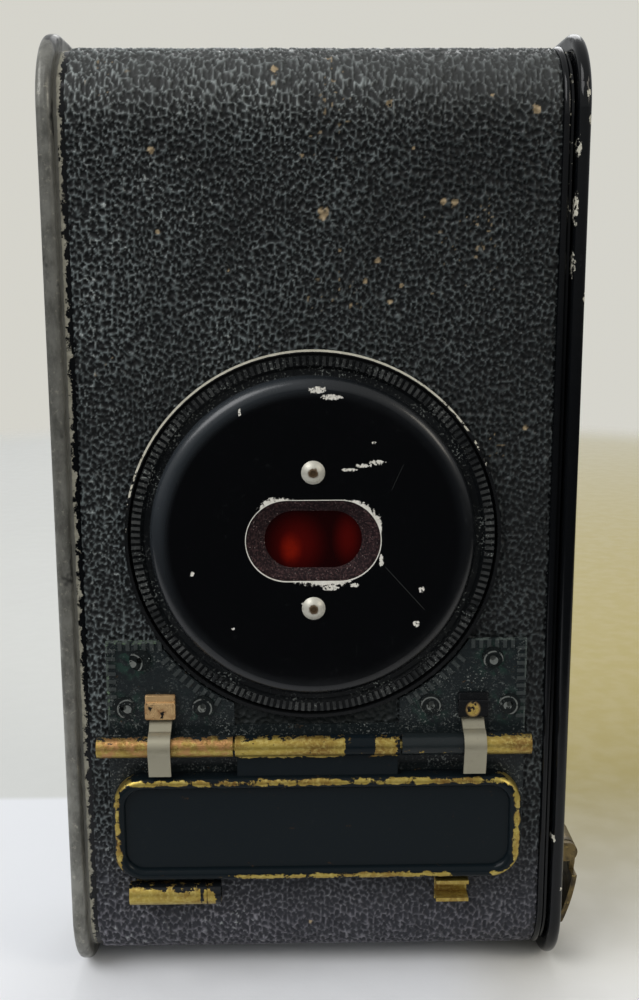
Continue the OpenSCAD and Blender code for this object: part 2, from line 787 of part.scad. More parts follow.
module spring_bridges() {
  wall = (bridge_w - spring_w) / 2 - 0.1;
  side_h = 2.3;
  end_h = 0.9;
  z0 = plate_mid + 1.1;
  top = plate_sheet + spring_t + 0.1;
  color("#8a5a34") on_back() for (s = [-1, 1]) translate([s * spring_x, 0, 0]) {
    for (m = [-1, 1]) translate([m * (bridge_w - wall) / 2, z0 + side_h / 2, 0])
      raise(plate_sheet, top + 0.5) square([wall, side_h], center = true);
    raise(top, top + 0.5) translate([0, z0 + side_h / 2]) round_rect(bridge_w, side_h, 0.3);
    raise(plate_sheet, top + 0.2) translate([0, z0 + side_h + end_h / 2 - 0.05])
      square([bridge_w, end_h], center = true);
  }
}

module stylus_socket() {
  end_wall = 1;
  groove = 0.15;
  foot_in = 0.6;
  x0 = -socket_left;
  x1 = x0 + socket_len;
  x2 = x1 + socket_ring + 0.1;
  color("#b08a35") difference() {
    union() {
      rod_x(socket_r, x0, x1, -stylus_h, stylus_z);
      rod_x(socket_r - 0.3, x1 - 0.1, x2, -stylus_h, stylus_z);
      rod_x(socket_r, x1 + groove, x2, -stylus_h, stylus_z);
      translate([x0 + foot_in, -stylus_h, stylus_z - 1])
        cube([socket_len - 2 * foot_in, stylus_h, 2]);
    }
    rod_x(socket_bore, x0 + end_wall, x2 + cut, -stylus_h, stylus_z);
  }
}

module stylus_clip() {
  jaw_t = 0.5;
  jaw_h = stylus_h + 0.6;
  base_t = 0.4;
  mouth = 2 * socket_bore + 0.1;
  color("#b08a35") along_x(clip_x - clip_w / 2, clip_x + clip_w / 2) {
    translate([-base_t, stylus_z - mouth / 2 - 3 * base_t])
      square([base_t, mouth + 4 * base_t]);
    for (z = [stylus_z - mouth / 2 - jaw_t, stylus_z + mouth / 2])
      translate([-jaw_h, z]) square([jaw_h, jaw_t]);
  }
}

module side_cover_right() {
  color("#141416") difference() {
    union() {
      rim(cover_x, body_w / 2);
      side_web(cover_x, key_face_x);
    }
    rod_x(key_r + run, cover_x - cut, body_w / 2 + cut, spool_y, spool_z);
  }
}

module cover_catches() {
  tongue = 3;
  wide = 6;
  sheet = 0.4;
  color("#b9b4a8") for (m = [0, 1]) translate([0, 0, m * body_h]) mirror([0, 0, m])
    translate([cover_x - tongue, spool_y - wide / 2, inner_z0 + gap]) cube([tongue, wide, sheet]);
}

module key_shaft() {
  cheek_y = blade_w / 4 + 0.4;
  cheek_t = 0.8;
  collar_x = spool_len / 2 + gap;
  color("#8f7a4a") difference() {
    union() {
      rod_x(key_r, collar_x, key_axis_x - eye_r - gap, spool_y, spool_z);
      rod_x(key_r * 1.5, collar_x, cover_x - gap, spool_y, spool_z);
      translate([collar_x - tongue_in - 0.1, spool_y - tongue_t / 2, spool_z - tongue_w / 2])
        cube([tongue_in + 0.2, tongue_t, tongue_w]);
      intersection() {
        translate([body_w / 2 + gap, spool_y - cheek_y - cheek_t, spool_z - eye_r])
          cube([key_axis_x - body_w / 2 - gap, 2 * (cheek_y + cheek_t), 2 * eye_r]);
        union() {
          rod_x(cheek_y + cheek_t, body_w / 2, key_axis_x - eye_r - gap, spool_y, spool_z);
          for (s = [-1, 1]) translate([body_w / 2, spool_y + s * (cheek_y + cheek_t / 2)
            - cheek_t / 2, spool_z - eye_r]) cube([blade_w, cheek_t, 2 * eye_r]);
        }
      }
      for (s = [-1, 1]) translate([key_axis_x, spool_y + s * (cheek_y + cheek_t / 2)
        + cheek_t / 2, spool_z]) rotate([90, 0, 0]) cylinder(r = eye_r, h = cheek_t);
    }
    translate([key_axis_x, spool_y + blade_w, spool_z]) rotate([90, 0, 0])
      cylinder(r = key_pin_r, h = 2 * blade_w);
  }
}

module key_pin() {
  half = blade_w / 4 + 1.2;
  color("#6b5b3a") translate([key_axis_x, spool_y + half, spool_z]) rotate([90, 0, 0])
    cylinder(r = key_pin_r, h = 2 * half);
}

// The key's blade: a rolled eye and a bowed wing that lies along the side cover
module key_blade() {
  bow_x = key_reach - blade_bow;
  eye_half = blade_w / 4 + 0.1;
  color("#b08a35") difference() {
    union() {
      translate([key_axis_x, spool_y + eye_half, spool_z]) rotate([90, 0, 0])
        cylinder(r = eye_r, h = 2 * eye_half);
      intersection() {
        translate([0, spool_y + blade_w, 0]) rotate([90, 0, 0])
          linear_extrude(height = 2 * blade_w) difference() {
            translate([bow_x, spool_z]) circle(blade_bow, $fn = 240);
            translate([bow_x, spool_z]) circle(blade_bow - blade_t, $fn = 240);
          }
        along_x(body_w / 2, key_reach + 1) translate([spool_y, spool_z]) {
          translate([-eye_half, -6]) square([2 * eye_half, 6]);
          translate([-blade_w / 2, -blade_len + 2]) square([blade_w, blade_len - 5]);
          intersection() {
            translate([0, -blade_len + blade_w / 2 + 1]) circle(blade_w / 2 + 1);
            translate([-blade_w / 2, -blade_len]) square([blade_w, blade_len - 3]);
          }
        }
      }
    }
    translate([key_axis_x, spool_y + blade_w, spool_z]) rotate([90, 0, 0])
      cylinder(r = key_pin_r + run, h = 2 * blade_w);
  }
}

// A bar of the lazy tongs in (y, z), from its lower end p at a slope to the upright
module bar_outline(p, slope, ends) {
  translate(p) rotate(slope) difference() {
    union() {
      translate([-bar_w / 2, 0]) square([bar_w, bar_len]);
      for (e = [0, bar_len]) translate([0, e]) circle(bar_w / 2);
    }
    for (e = ends) translate([0, e]) circle(bar_pin_r + run);
  }
}

// Places of the two ends and the crossing of a bar, in (y, z)
function bar_point(p, slope, e) = [p[0] - e * sin(slope), p[1] + e * cos(slope)];

// Pins start this far inside their bar's other face, so that a rivet head shows
module bar_pin(side, x0, x1, q) {
  xa = side * x0;
  xb = side * x1;
  rod_x(bar_pin_r, min(xa, xb), max(xa, xb), q[0], q[1]);
}

module layer(side, x0) {
  along_x(side > 0 ? x0 : -x0 - bar_t, side > 0 ? x0 + bar_t : -x0) children();
}

// An outer bar slopes forward as it rises. It carries the pin of its crossing.
module outer_bar(side, p, slide_pin) {
  slope = -bar_rest;
  c = bar_point(p, slope, bar_len / 2);
  top = bar_point(p, slope, bar_len);
  color("#2b2b2e") {
    layer(side, x_outer_bar) bar_outline(p, slope, slide_pin ? [] : [0]);
    bar_pin(side, x_inner_bar - 0.1, x_outer_bar + bar_t, c);
    if (slide_pin) bar_pin(side, x_front_bracket, x_outer_bar + bar_t, top);
  }
}

// An inner bar slopes back as it rises
module inner_bar(side, p, slide_pin) {
  slope = bar_rest;
  top = bar_point(p, slope, bar_len);
  color("#2b2b2e") {
    layer(side, x_inner_bar) bar_outline(p, slope, slide_pin ? [bar_len / 2]
      : [0, bar_len / 2]);
    if (slide_pin) bar_pin(side, x_inner_bar, x_body_bracket + bar_t, top);
  }
}

rear_low = [rear_y, pivot_z0];
mid_low = [rear_y + cell_d, pivot_z0];
front_low = [front_pivot_y, pivot_z0];

module bar_left_rear_outer() { outer_bar(-1, rear_low, false); }
module bar_left_rear_inner() { inner_bar(-1, mid_low, true); }
module bar_left_front_outer() { outer_bar(-1, mid_low, true); }
module bar_left_front_inner() { inner_bar(-1, front_low, false); }
module bar_right_rear_outer() { outer_bar(1, rear_low, false); }
module bar_right_rear_inner() { inner_bar(1, mid_low, true); }
module bar_right_front_outer() { outer_bar(1, mid_low, true); }
module bar_right_front_inner() { inner_bar(1, front_low, false); }

// A bracket plate with a fixed pin below and an upright slot above
module bracket(side, x0, pin_from, y0, y1, pivot_y) {
  slot_half = bar_pin_r + 0.1;
  layer(side, x0) difference() {
    translate([y0, pivot_z0 - 2.4]) square([y1 - y0, slot_high_z - pivot_z0 + 4.8]);
    translate([pivot_y - slot_half, slot_low_z - bar_pin_r - 0.3])
      square([2 * slot_half, slot_high_z - slot_low_z + 2 * bar_pin_r + 0.6]);
    translate([y0 + (y1 - y0) * 0.3, pivot_z0 + 8])
      square([(y1 - y0) * 0.4, slot_low_z - pivot_z0 - 16]);
  }
  bar_pin(side, min(x0, pin_from), max(x0 + bar_t, pin_from), [pivot_y, pivot_z0]);
}

module body_brackets() {
  color("#3a3a3d") for (s = [-1, 1])
    bracket(s, x_body_bracket, x_outer_bar, film_y + chamber_t, rear_y + 2, rear_y);
}

module front_brackets() {
  color("#3a3a3d") for (s = [-1, 1])
    bracket(s, x_front_bracket, x_inner_bar + bar_t, front_pivot_y - 2, front_y0,
      front_pivot_y);
}

// A flat rectangular frame between two depths
module flat_frame(y0, y1, w, h, open_w, open_h) {
  on_front(y0) translate([0, mid_z, 0]) raise(0, y1 - y0) difference() {
    square([w, h], center = true);
    square([open_w, open_h], center = true);
  }
}

module bellows_rear_frame() {
  color("#1b1b1d") flat_frame(chamber_y1, bellows_y0, gate_w + 3.8, gate_h + 3, gate_w, gate_h);
}

module bellows_front_frame() {
  color("#1b1b1d") flat_frame(bellows_y1, front_y0, neck_out[0], neck_out[1], neck_in[0],
    neck_in[1]);
}

// Folded bellows: each pleat is a ridge ring and a valley ring, smaller towards the lens
module bellows() {
  pitch = (bellows_y1 - bellows_y0) / bellows_n;
  fold = 1.5;
  wall = 3.4;
  wide = gate_w + wall;
  high = gate_h + wall - 0.8;
  shrink_x = (wide + 2 - neck_out[0]) / (bellows_n - 1);
  shrink_z = (high + 2 - neck_out[1]) / (bellows_n - 1);
  color("#202024") for (i = [0 : bellows_n - 1]) {
    w = wide - shrink_x * i;
    h = high - shrink_z * i;
    y = bellows_y0 + pitch * i;
    flat_frame(y, y + pitch * 0.6, w, h, w - 2 * wall, h - 2 * wall);
    flat_frame(y + pitch * 0.55, min(y + pitch + 0.02, bellows_y1), w - 2 * fold,
      h - 2 * fold, w - 2 * wall - shrink_x, h - 2 * wall - shrink_z);
  }
}

// The front plate, with two ears for the foot's pivot
module front_plate() {
  ear_x = foot_w / 2 + gap;
  ear_r = 1.4;
  color("#111113") difference() {
    union() {
      on_front(front_y0) translate([0, mid_z, 0])
        raise(0, front_t) round_rect(2 * front_half, body_h - 2 * front_margin, front_r);
      for (s = [-1, 1]) translate([s * (ear_x + ear_w / 2) - ear_w / 2, 0, 0]) {
        rod_x(ear_r, 0, ear_w, foot_pin_y, foot_z);
        translate([0, front_y0, foot_z - ear_r])
          cube([ear_w, foot_pin_y - front_y0, 2 * ear_r]);
      }
    }
    on_lens(front_y0 - cut) cylinder(r = lens_rim_r + 1, h = front_t + 2 * cut);
    rod_x(foot_pin_r + run, -foot_w, foot_w, foot_pin_y, foot_z);
  }
}

// Lips at both sides of the front plate, to pull it out by
module finger_tabs() {
  tab_h = 14;
  tab_w = 6;
  lift = 2.6;
  sheet = 0.6;
  color("#9a9688") for (s = [-1, 1]) translate([s * (front_half - 1), 0, mid_z - tab_h / 2])
    mirror([s > 0 ? 1 : 0, 0, 0]) {
      translate([0, front_y1, 0]) cube([tab_w, sheet, tab_h]);
      translate([0, front_y1, 0]) cube([sheet, lift, tab_h]);
      translate([sheet / 2, front_y1 + lift, 0]) cylinder(r = sheet / 2, h = tab_h);
    }
}

module on_lens(y) {
  translate([0, 0, mid_z]) on_front(y) children();
}

// Levels inside the shutter, from the case's floor to the levers on its face
case_floor = 0.4;
blade_h = [0.7, 1.2];
blade_sheet = 0.2;
blade_pin_h = 1.8;
stop_h = 2.3;
stop_sheet = 0.3;
lever_lift = 0.1;
lever_t = 0.6;
shaft_in = face_t + 0.6;
// Place of the speed dial above the lens, and of the release lever's shaft
dial_z = lens_rim_r + 3.9;
release_at = [case_r - 7, case_r - 10.5];
// Radius of the levers' shafts and of the blade pins
shaft_r = 0.8;
blade_pin_r = 0.7;

module shutter_case() {
  color("#0e0e10") difference() {
    union() {
      on_lens(front_y1) difference() {
        cylinder(r = case_r, h = case_d);
        translate([0, 0, case_floor]) cylinder(r = case_r - case_t, h = case_d);
      }
      on_lens(front_y1) for (s = [-1, 1]) translate([s * blade_pin_d, 0, 0])
        cylinder(r = blade_pin_r, h = blade_pin_h);
    }
    on_lens(front_y1 - cut) cylinder(r = lens_rim_r + 0.5, h = 2);
  }
}

module shutter_face() {
  color("#1a1a1c") on_lens(case_y1) difference() {
    cylinder(r = case_r, h = face_t);
    translate([0, 0, -cut]) cylinder(r = barrel_lens_r, h = face_t + 2 * cut);
    translate([0, -aperture_d, -cut]) cylinder(r = shaft_r + run, h = 2);
    translate([0, dial_z, -cut]) cylinder(r = shaft_r + run, h = 2);
    translate([release_at[0], release_at[1], -cut]) cylinder(r = shaft_r + run, h = 2);
  }
}

// A leaf that covers half of the opening and swings aside about its pin
module shutter_blade(s, h0) {
  on_lens(front_y1) translate([0, 0, h0]) linear_extrude(height = blade_sheet) difference() {
    union() {
      translate([s * blade_pin_d, 0]) circle(2 * shaft_r);
      intersection() {
        circle(blade_pin_d - 0.5);
        translate([s > 0 ? -0.4 : 0.4 - blade_pin_d, -lens_r - 0.3])
          square([blade_pin_d, 2 * lens_r + 0.6]);
      }
    }
    translate([s * blade_pin_d, 0]) circle(blade_pin_r + run);
  }
}

module shutter_blade_left() { color("#3c3f45") shutter_blade(-1, blade_h[0]); }
module shutter_blade_right() { color("#3c3f45") shutter_blade(1, blade_h[1]); }

// Stops lie on a circle round the disc's own pivot, the largest one on the lens axis
stop_sizes = [for (k = [1, 0.73, 0.5, 0.36]) stop_r * k];
stop_step = 45;

module aperture_disc() {
  color("#33353a") on_lens(front_y1) translate([0, -aperture_d, 0]) {
    difference() {
      raise(stop_h, stop_h + stop_sheet) circle(stop_d);
      for (i = [0 : len(stop_sizes) - 1]) rotate([0, 0, 90 - stop_step * i])
        translate([aperture_d, 0, stop_h - cut]) cylinder(r = stop_sizes[i], h = 3 * cut);
    }
    translate([0, 0, stop_h + stop_sheet / 2])
      cylinder(r = shaft_r, h = case_d + face_t + lever_lift - stop_h - stop_sheet / 2);
  }
}

module aperture_lever() {
  arm = 9;
  color("#b9b4a8") on_lens(face_y1) translate([0, -aperture_d, 0]) rotate([0, 0, -67.5])
    raise(lever_lift, lever_lift + lever_t) {
      circle(1.5);
      translate([-0.6, -arm]) square([1.2, arm]);
      translate([0, -arm]) circle(1.1);
    }
}

module release_lever() {
  arm = 8;
  color("#b9b4a8") on_lens(face_y1) translate([release_at[0], release_at[1], 0]) {
    translate([0, 0, -shaft_in]) cylinder(r = shaft_r, h = shaft_in + lever_lift);
    raise(lever_lift, lever_lift + lever_t) {
      circle(2 * shaft_r);
      rotate(35) {
        translate([0, -0.7]) square([arm, 1.4]);
        translate([arm, 0]) circle(1.5);
      }
    }
  }
}

module speed_dial() {
  color("#b9b4a8") on_lens(face_y1) translate([0, dial_z, 0]) {
    translate([0, 0, -shaft_in]) cylinder(r = shaft_r, h = shaft_in + lever_lift);
    raise(lever_lift, lever_lift + 1.5 * lever_t) {
      circle(4 * shaft_r);
      translate([-0.5, 0]) square([1, 5.5 * shaft_r]);
    }
  }
}

module lens_barrel() {
  barrel_in = 0.8;
  rim_len = 1.6;
  color("#c9c3b5") on_lens(case_y1) difference() {
    union() {
      translate([0, 0, -barrel_in])
        cylinder(r = barrel_lens_r, h = barrel_in + face_t + barrel_out);
      translate([0, 0, face_t + barrel_out - rim_len]) cylinder(r = lens_rim_r, h = rim_len);
    }
    translate([0, 0, -barrel_in - cut])
      cylinder(r = lens_r, h = barrel_in + face_t + barrel_out + 2 * cut);
  }
}

// A lens: two domed faces on a thin edge
module lens_glass(r, edge, dome) {
  ball = (r * r + dome * dome) / (2 * dome);
  rotate_extrude() intersection() {
    translate([0, -edge / 2 - dome]) square([r, edge + 2 * dome]);
    translate([0, edge / 2 + dome - ball]) circle(ball, $fn = 480);
    translate([0, -edge / 2 - dome + ball]) circle(ball, $fn = 480);
  }
}

module lenses() {
  color([0.7, 0.8, 0.9, 0.4]) {
    on_lens(face_y1 + barrel_out - 1.8) lens_glass(lens_r, 0.5, 0.9);
    on_lens(front_y0 - 2) lens_glass(lens_r, 0.5, 0.7);
  }
}

module rear_cell() {
  tube_h = 3;
  flange = 0.6;
  color("#1b1b1d") on_lens(front_y0 - tube_h) {
    difference() {
      cylinder(r = lens_r + 1, h = tube_h + front_t);
      translate([0, 0, -cut]) cylinder(r = lens_r, h = 2 * tube_h);
    }
    difference() {
      translate([0, 0, tube_h - flange]) cylinder(r = lens_rim_r + 2, h = flange);
      translate([0, 0, 1]) cylinder(r = lens_r + 0.5, h = tube_h + 1);
    }
  }
}

module on_finder(y) {
  translate([-finder_x, 0, mid_z + finder_z]) on_front(y) children();
}

finder_post_r = 1;
finder_post_h = 1.2;
finder_wall = 1;

module finder_mount() {
  color("#9a9688") on_finder(front_y1) {
    cylinder(r = 3.4, h = finder_base);
    cylinder(r = finder_post_r, h = finder_base + gap + finder_post_h);
  }
}

module finder_body() {
  half = finder_w / 2;
  color("#121214") on_finder(finder_y0) difference() {
    raise(0, finder_d) round_rect(finder_w, finder_w, 1);
    translate([0, 0, -cut]) cylinder(r = finder_post_r + run,
      h = cut + finder_post_h + finder_wall / 5);
    translate([-half + finder_wall, -half + finder_wall, 2 * finder_wall])
      cube([finder_w - 2 * finder_wall, finder_w - 2 * finder_wall, finder_d - 3 * finder_wall]);
    translate([0, 0, finder_d - 2]) cylinder(r = half - 2, h = 4);
    translate([-half + 2.4, 0, 2.6]) cube([finder_w - 4.8, finder_w, finder_d - 4.4]);
  }
}

module finder_lenses() {
  half = finder_w / 2;
  color([0.7, 0.8, 0.9, 0.4]) on_finder(finder_y0) {
    translate([0, 0, finder_d - 1]) cylinder(r = half - 2, h = 0.9);
    translate([-half + 2.4, half - 1, 2.6]) cube([finder_w - 4.8, 0.9, finder_d - 4.4]);
  }
}

foot_z = foot_len + gap;
foot_pin_y = front_y1 + 1.1;
foot_pin_r = 0.7;
foot_sheet = 0.8;
ear_w = 1.2;

module foot_stand() {
  half = foot_w / 2;
  color("#9a9688") {
    translate([0, 0, 2 * foot_z]) mirror([0, 0, 1]) on_front(foot_pin_y) difference() {
      raise(-foot_sheet / 2, foot_sheet / 2) {
        translate([-half, foot_z - foot_len + half]) square([foot_w, foot_len - half]);
        translate([0, foot_z - foot_len + half]) circle(half);
      }
      translate([0, foot_z - foot_len / 2, -2]) cylinder(r = 2, h = 4);
    }
    rod_x(foot_pin_r, -half - gap - ear_w - 0.1, half + gap + ear_w + 0.1, foot_pin_y,
      foot_z);
  }
}

at_origin() body_shell();
at_origin() leather_cover();
at_origin() side_plate_left();
at_origin() spool_pins_left();
at_origin() film_chamber();
at_origin() film_guide_rails();
at_origin() spool_springs();
at_origin() supply_spool();
at_origin() takeup_spool();
at_origin() disc_lip();
at_origin() serrated_ring();
at_origin() back_disc();
at_origin() window_frame();
at_origin() red_window();
at_origin() window_retainer();
at_origin() disc_rivets();
at_origin() slot_plate();
at_origin() plate_rivets();
at_origin() door_hinge_pin();
at_origin() slot_door();
at_origin() door_springs();
at_origin() spring_bridges();
at_origin() stylus_socket();
at_origin() stylus_clip();
at_origin() side_cover_right();
at_origin() cover_catches();
at_origin() spool_pin_right();
at_origin() key_shaft();
at_origin() key_pin();
at_origin() key_blade();
at_origin() body_brackets();
at_origin() front_brackets();
at_origin() bellows_rear_frame();
at_origin() bellows();
at_origin() bellows_front_frame();
at_origin() bar_left_rear_outer();
at_origin() bar_left_rear_inner();
at_origin() bar_left_front_outer();
at_origin() bar_left_front_inner();
at_origin() bar_right_rear_outer();
at_origin() bar_right_rear_inner();
at_origin() bar_right_front_outer();
at_origin() bar_right_front_inner();
at_origin() front_plate();
at_origin() finger_tabs();
at_origin() shutter_case();
at_origin() shutter_face();
at_origin() shutter_blade_left();
at_origin() shutter_blade_right();
at_origin() aperture_disc();
at_origin() aperture_lever();
at_origin() release_lever();
at_origin() speed_dial();
at_origin() lens_barrel();
at_origin() lenses();
at_origin() rear_cell();
at_origin() finder_mount();
at_origin() finder_body();
at_origin() finder_lenses();
at_origin() foot_stand();
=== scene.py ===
# %% [markdown]
# # A vest pocket camera, seen from its back
# The camera stands closed on its end, with its round window disc and its writing door towards us.
# This script loads the finished CAD model, gives every piece of it a painted, worn or polished
# finish, and adds the two pieces that a solid model shows poorly: pebbled leather and folded bellows.

# %% Load the camera's frame
import json

import bpy
import numpy as np
from mathutils import Matrix, Vector

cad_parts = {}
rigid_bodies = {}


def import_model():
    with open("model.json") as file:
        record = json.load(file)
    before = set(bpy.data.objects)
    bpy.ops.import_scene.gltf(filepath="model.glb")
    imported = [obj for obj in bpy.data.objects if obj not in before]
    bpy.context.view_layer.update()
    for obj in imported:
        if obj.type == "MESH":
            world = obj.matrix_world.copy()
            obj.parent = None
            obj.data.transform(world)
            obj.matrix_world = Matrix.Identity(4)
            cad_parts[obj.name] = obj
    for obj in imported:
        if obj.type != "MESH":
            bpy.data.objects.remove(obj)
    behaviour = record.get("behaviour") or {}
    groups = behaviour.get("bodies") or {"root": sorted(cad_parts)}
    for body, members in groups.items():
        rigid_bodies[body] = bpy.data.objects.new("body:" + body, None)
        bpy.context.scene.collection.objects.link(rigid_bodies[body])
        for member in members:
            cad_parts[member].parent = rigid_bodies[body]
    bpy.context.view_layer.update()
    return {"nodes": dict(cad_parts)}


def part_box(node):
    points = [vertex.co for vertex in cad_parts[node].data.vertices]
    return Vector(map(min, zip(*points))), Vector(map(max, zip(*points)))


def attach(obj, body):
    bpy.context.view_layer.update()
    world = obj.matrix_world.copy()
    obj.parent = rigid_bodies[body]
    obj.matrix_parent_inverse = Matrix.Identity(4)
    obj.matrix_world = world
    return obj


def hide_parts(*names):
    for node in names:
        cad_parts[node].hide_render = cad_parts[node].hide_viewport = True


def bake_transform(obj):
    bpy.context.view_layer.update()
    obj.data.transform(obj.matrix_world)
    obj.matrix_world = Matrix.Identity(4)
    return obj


for left_over in list(bpy.data.objects):
    bpy.data.objects.remove(left_over)
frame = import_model()
nodes = frame["nodes"]
MM = 0.001

# %% [markdown]
# ## The camera and where it stands
# The photograph looks down on the back by eleven degrees from only 16 cm away, so the top looks
# wider than the foot. A lens can be guessed by eye, or solved from corners that are known on the
# object; here it was solved, and the three directions of the view are written out as a matrix.

# %% Place the camera
view_right = Vector((0.99981, -0.01937, -0.00313)).normalized()
view_forward = Vector((0.01843, 0.98166, -0.18972))
view_forward = (view_forward - view_right * view_forward.dot(view_right)).normalized()
view_up = view_right.cross(view_forward)
camera_data = bpy.data.cameras.new("photo_view")
camera_data.lens = 43.2
camera_data.sensor_width = 36.0
camera_data.clip_start = 0.005
camera = bpy.data.objects.new("photo_view", camera_data)
turn = Matrix((view_right, view_up, -view_forward)).transposed().to_4x4()
camera.matrix_world = Matrix.Translation(Vector((-4.345, -159.145, 93.24)) * MM) @ turn
bpy.context.scene.collection.objects.link(camera)
bpy.context.scene.camera = camera
print("camera height above the table:", round(camera.location.z / MM, 1), "mm")

# %% [markdown]
# ## A small kit for painting finishes
# A finish is a graph of small nodes. Each could be placed by hand in the shader editor, but the
# same few questions come back for every finish: how far is this point from an edge, is it inside
# this patch, how rough is the noise here. A short class answers them, always in millimetres of the
# object's own space, so that a pattern stays on its piece from every side.


# %% The finish kit
class Finish:
    """One material. A value may be a number or the output of a node; mm is the point in mm."""

    def __init__(self, name, colour, rough, metal=0.0):
        self.material = bpy.data.materials.new(name)
        self.material.use_nodes = True
        self.tree = self.material.node_tree
        self.shader = self.tree.nodes["Principled BSDF"]
        place = self.tree.nodes.new("ShaderNodeTexCoord").outputs["Object"]
        self.mm = self.vector("MULTIPLY", place, (1 / MM, 1 / MM, 1 / MM))
        split = self.add("ShaderNodeSeparateXYZ", {0: self.mm})
        self.x, self.y, self.z = split.outputs
        self.set("Base Color", colour)
        self.set("Roughness", rough)
        self.set("Metallic", metal)

    def add(self, kind, values, **settings):
        """A node of this kind with its settings, and a number or a link in each socket."""
        node = self.tree.nodes.new(kind)
        for name, value in settings.items():
            setattr(node, name, value)
        for name, value in values.items():
            self.plug(node.inputs[name], value)
        return node

    def plug(self, socket, value):
        """Link an output to the socket, or write a constant into it."""
        if isinstance(value, bpy.types.NodeSocket):
            self.tree.links.new(value, socket)
        elif isinstance(value, tuple) and socket.type == "RGBA":
            socket.default_value = (*value, 1.0)
        else:
            socket.default_value = value

    def set(self, name, value):
        """Give the shader a constant or a linked value."""
        self.plug(self.shader.inputs[name], value)

    def so_far(self, name="Base Color"):
        """The output that is linked to the shader now."""
        return self.shader.inputs[name].links[0].from_socket

    def paint(self, mask, a, b):
        """Give the shader colour a where the mask is 0 and colour b where it is 1."""
        self.set("Base Color", self.blend(mask, a, b))

    def cover(self, mask, colour):
        """Lay a colour over the one that the shader has so far, where the mask is 1."""
        self.paint(mask, self.so_far(), colour)

    def mottle(self, clouds, low, high):
        """Let the shader's roughness drift between low and high with a noise."""
        self.set("Roughness", self.step(clouds, 0.3, 0.7, low, high))

    def vector(self, operation, a, b):
        """One step of arithmetic on points."""
        return self.add("ShaderNodeVectorMath", {0: a, 1: b}, operation=operation).outputs[0]

    def math(self, operation, a, b=0.0, clamp=False):
        """One step of arithmetic on numbers."""
        node = self.add("ShaderNodeMath", {0: a, 1: b}, operation=operation, use_clamp=clamp)
        return node.outputs[0]

    def chain(self, operation, values):
        """The same step again and again, from the first value to the last."""
        total = values[0]
        for value in values[1:]:
            total = self.math(operation, total, value)
        return total

    def times(self, *values):
        """The product of the values."""
        return self.chain("MULTIPLY", values)

    def plus(self, *values):
        """The sum of the values."""
        return self.chain("ADD", values)

    def minus(self, *values):
        """The first value less all the others."""
        return self.chain("SUBTRACT", values)

    def most(self, *values):
        """The largest of the values."""
        return self.chain("MAXIMUM", values)

    def apart(self, a, b):
        """How far apart two numbers are: |a - b|."""
        return self.math("ABSOLUTE", self.minus(a, b))

    def length(self, a, b):
        """The length of a vector: the root of a^2 + b^2."""
        return self.math("SQRT", self.plus(self.times(a, a), self.times(b, b)))

    def step(self, value, low, high, to_low=0.0, to_high=1.0):
        """A soft step: to_low under low, to_high over high, 3t^2 - 2t^3 between them."""
        values = {"Value": value, "From Min": low, "From Max": high, "To Min": to_low, "To Max": to_high}
        node = self.add("ShaderNodeMapRange", values, interpolation_type="SMOOTHSTEP")
        return node.outputs["Result"]

    def noise(self, size, detail=3.0, rough=0.55, stretch=(1.0, 1.0, 1.0), shift=0.0):
        """Clouds about size mm across, longer along an axis where stretch is small."""
        at = self.vector("MULTIPLY", self.mm, stretch)
        at = self.vector("ADD", at, (shift, shift * 1.7, shift * 0.6))
        values = {"Vector": at, "Scale": 1.0 / size, "Detail": detail, "Roughness": rough}
        return self.add("ShaderNodeTexNoise", values).outputs[0]

    def blend(self, mask, a, b):
        """Colour a where the mask is 0 and colour b where it is 1; sockets 6 and 7 take colours."""
        node = self.add("ShaderNodeMix", {}, data_type="RGBA")
        for number, value in ((0, mask), (6, a), (7, b)):
            self.plug(node.inputs[number], value)
        return node.outputs[2]

    def box_distance(self, centre, half, corner):
        """Distance in mm, in the plane of the back, from a box with round corners: below 0 inside."""
        across = self.minus(self.apart(self.x, centre[0]), half[0] - corner)
        up = self.minus(self.apart(self.z, centre[1]), half[1] - corner)
        outside = self.length(self.most(across, 0.0), self.most(up, 0.0))
        inside = self.math("MINIMUM", self.most(across, up), 0.0)
        return self.minus(self.plus(outside, inside), corner)

    def ring_distance(self, centre, axes="xz"):
        """Distance in mm from a line through centre that runs along the third axis."""
        a = self.minus(getattr(self, axes[0]), centre[0])
        b = self.minus(getattr(self, axes[1]), centre[1])
        return self.length(a, b)

    def patch(self, places, soft=0.8):
        """1 inside any of the ovals (x, z, half width, half height), and 0 a little outside."""
        ovals = []
        for x, z, wide, high in places:
            a = self.times(self.minus(self.x, x), 1.0 / wide)
            b = self.times(self.minus(self.z, z), 1.0 / high)
            ovals.append(self.step(self.length(a, b), 1.0 - soft, 1.0 + soft, 1.0, 0.0))
        return self.most(*ovals)

    def bump(self, height, depth_mm):
        """Relief of depth_mm for a height from 0 to 1."""
        values = {"Height": height, "Distance": depth_mm * MM, "Strength": 1.0}
        self.set("Normal", self.add("ShaderNodeBump", values).outputs[0])

    def wear(self, *names):
        """Put this finish on CAD pieces."""
        for name in names:
            piece = nodes[name]
            piece.data.materials.clear()
            piece.data.materials.append(self.material)


# %% [markdown]
# ## Grids and noise for modelled pieces
# Leather grain and bellows are surfaces with a rule, so numpy works out all of their points at once.
# A sheet is a grid of rows and columns whose cells become faces. Random height comes from a table of
# numbers that is smoothed between its entries, which gives the same leather on every run.


# %% Grid helpers
TABLE_SIZE = 256


def ease(t):
    """3t^2 - 2t^3, which runs from 0 to 1 with level ends."""
    return t * t * (3.0 - 2.0 * t)


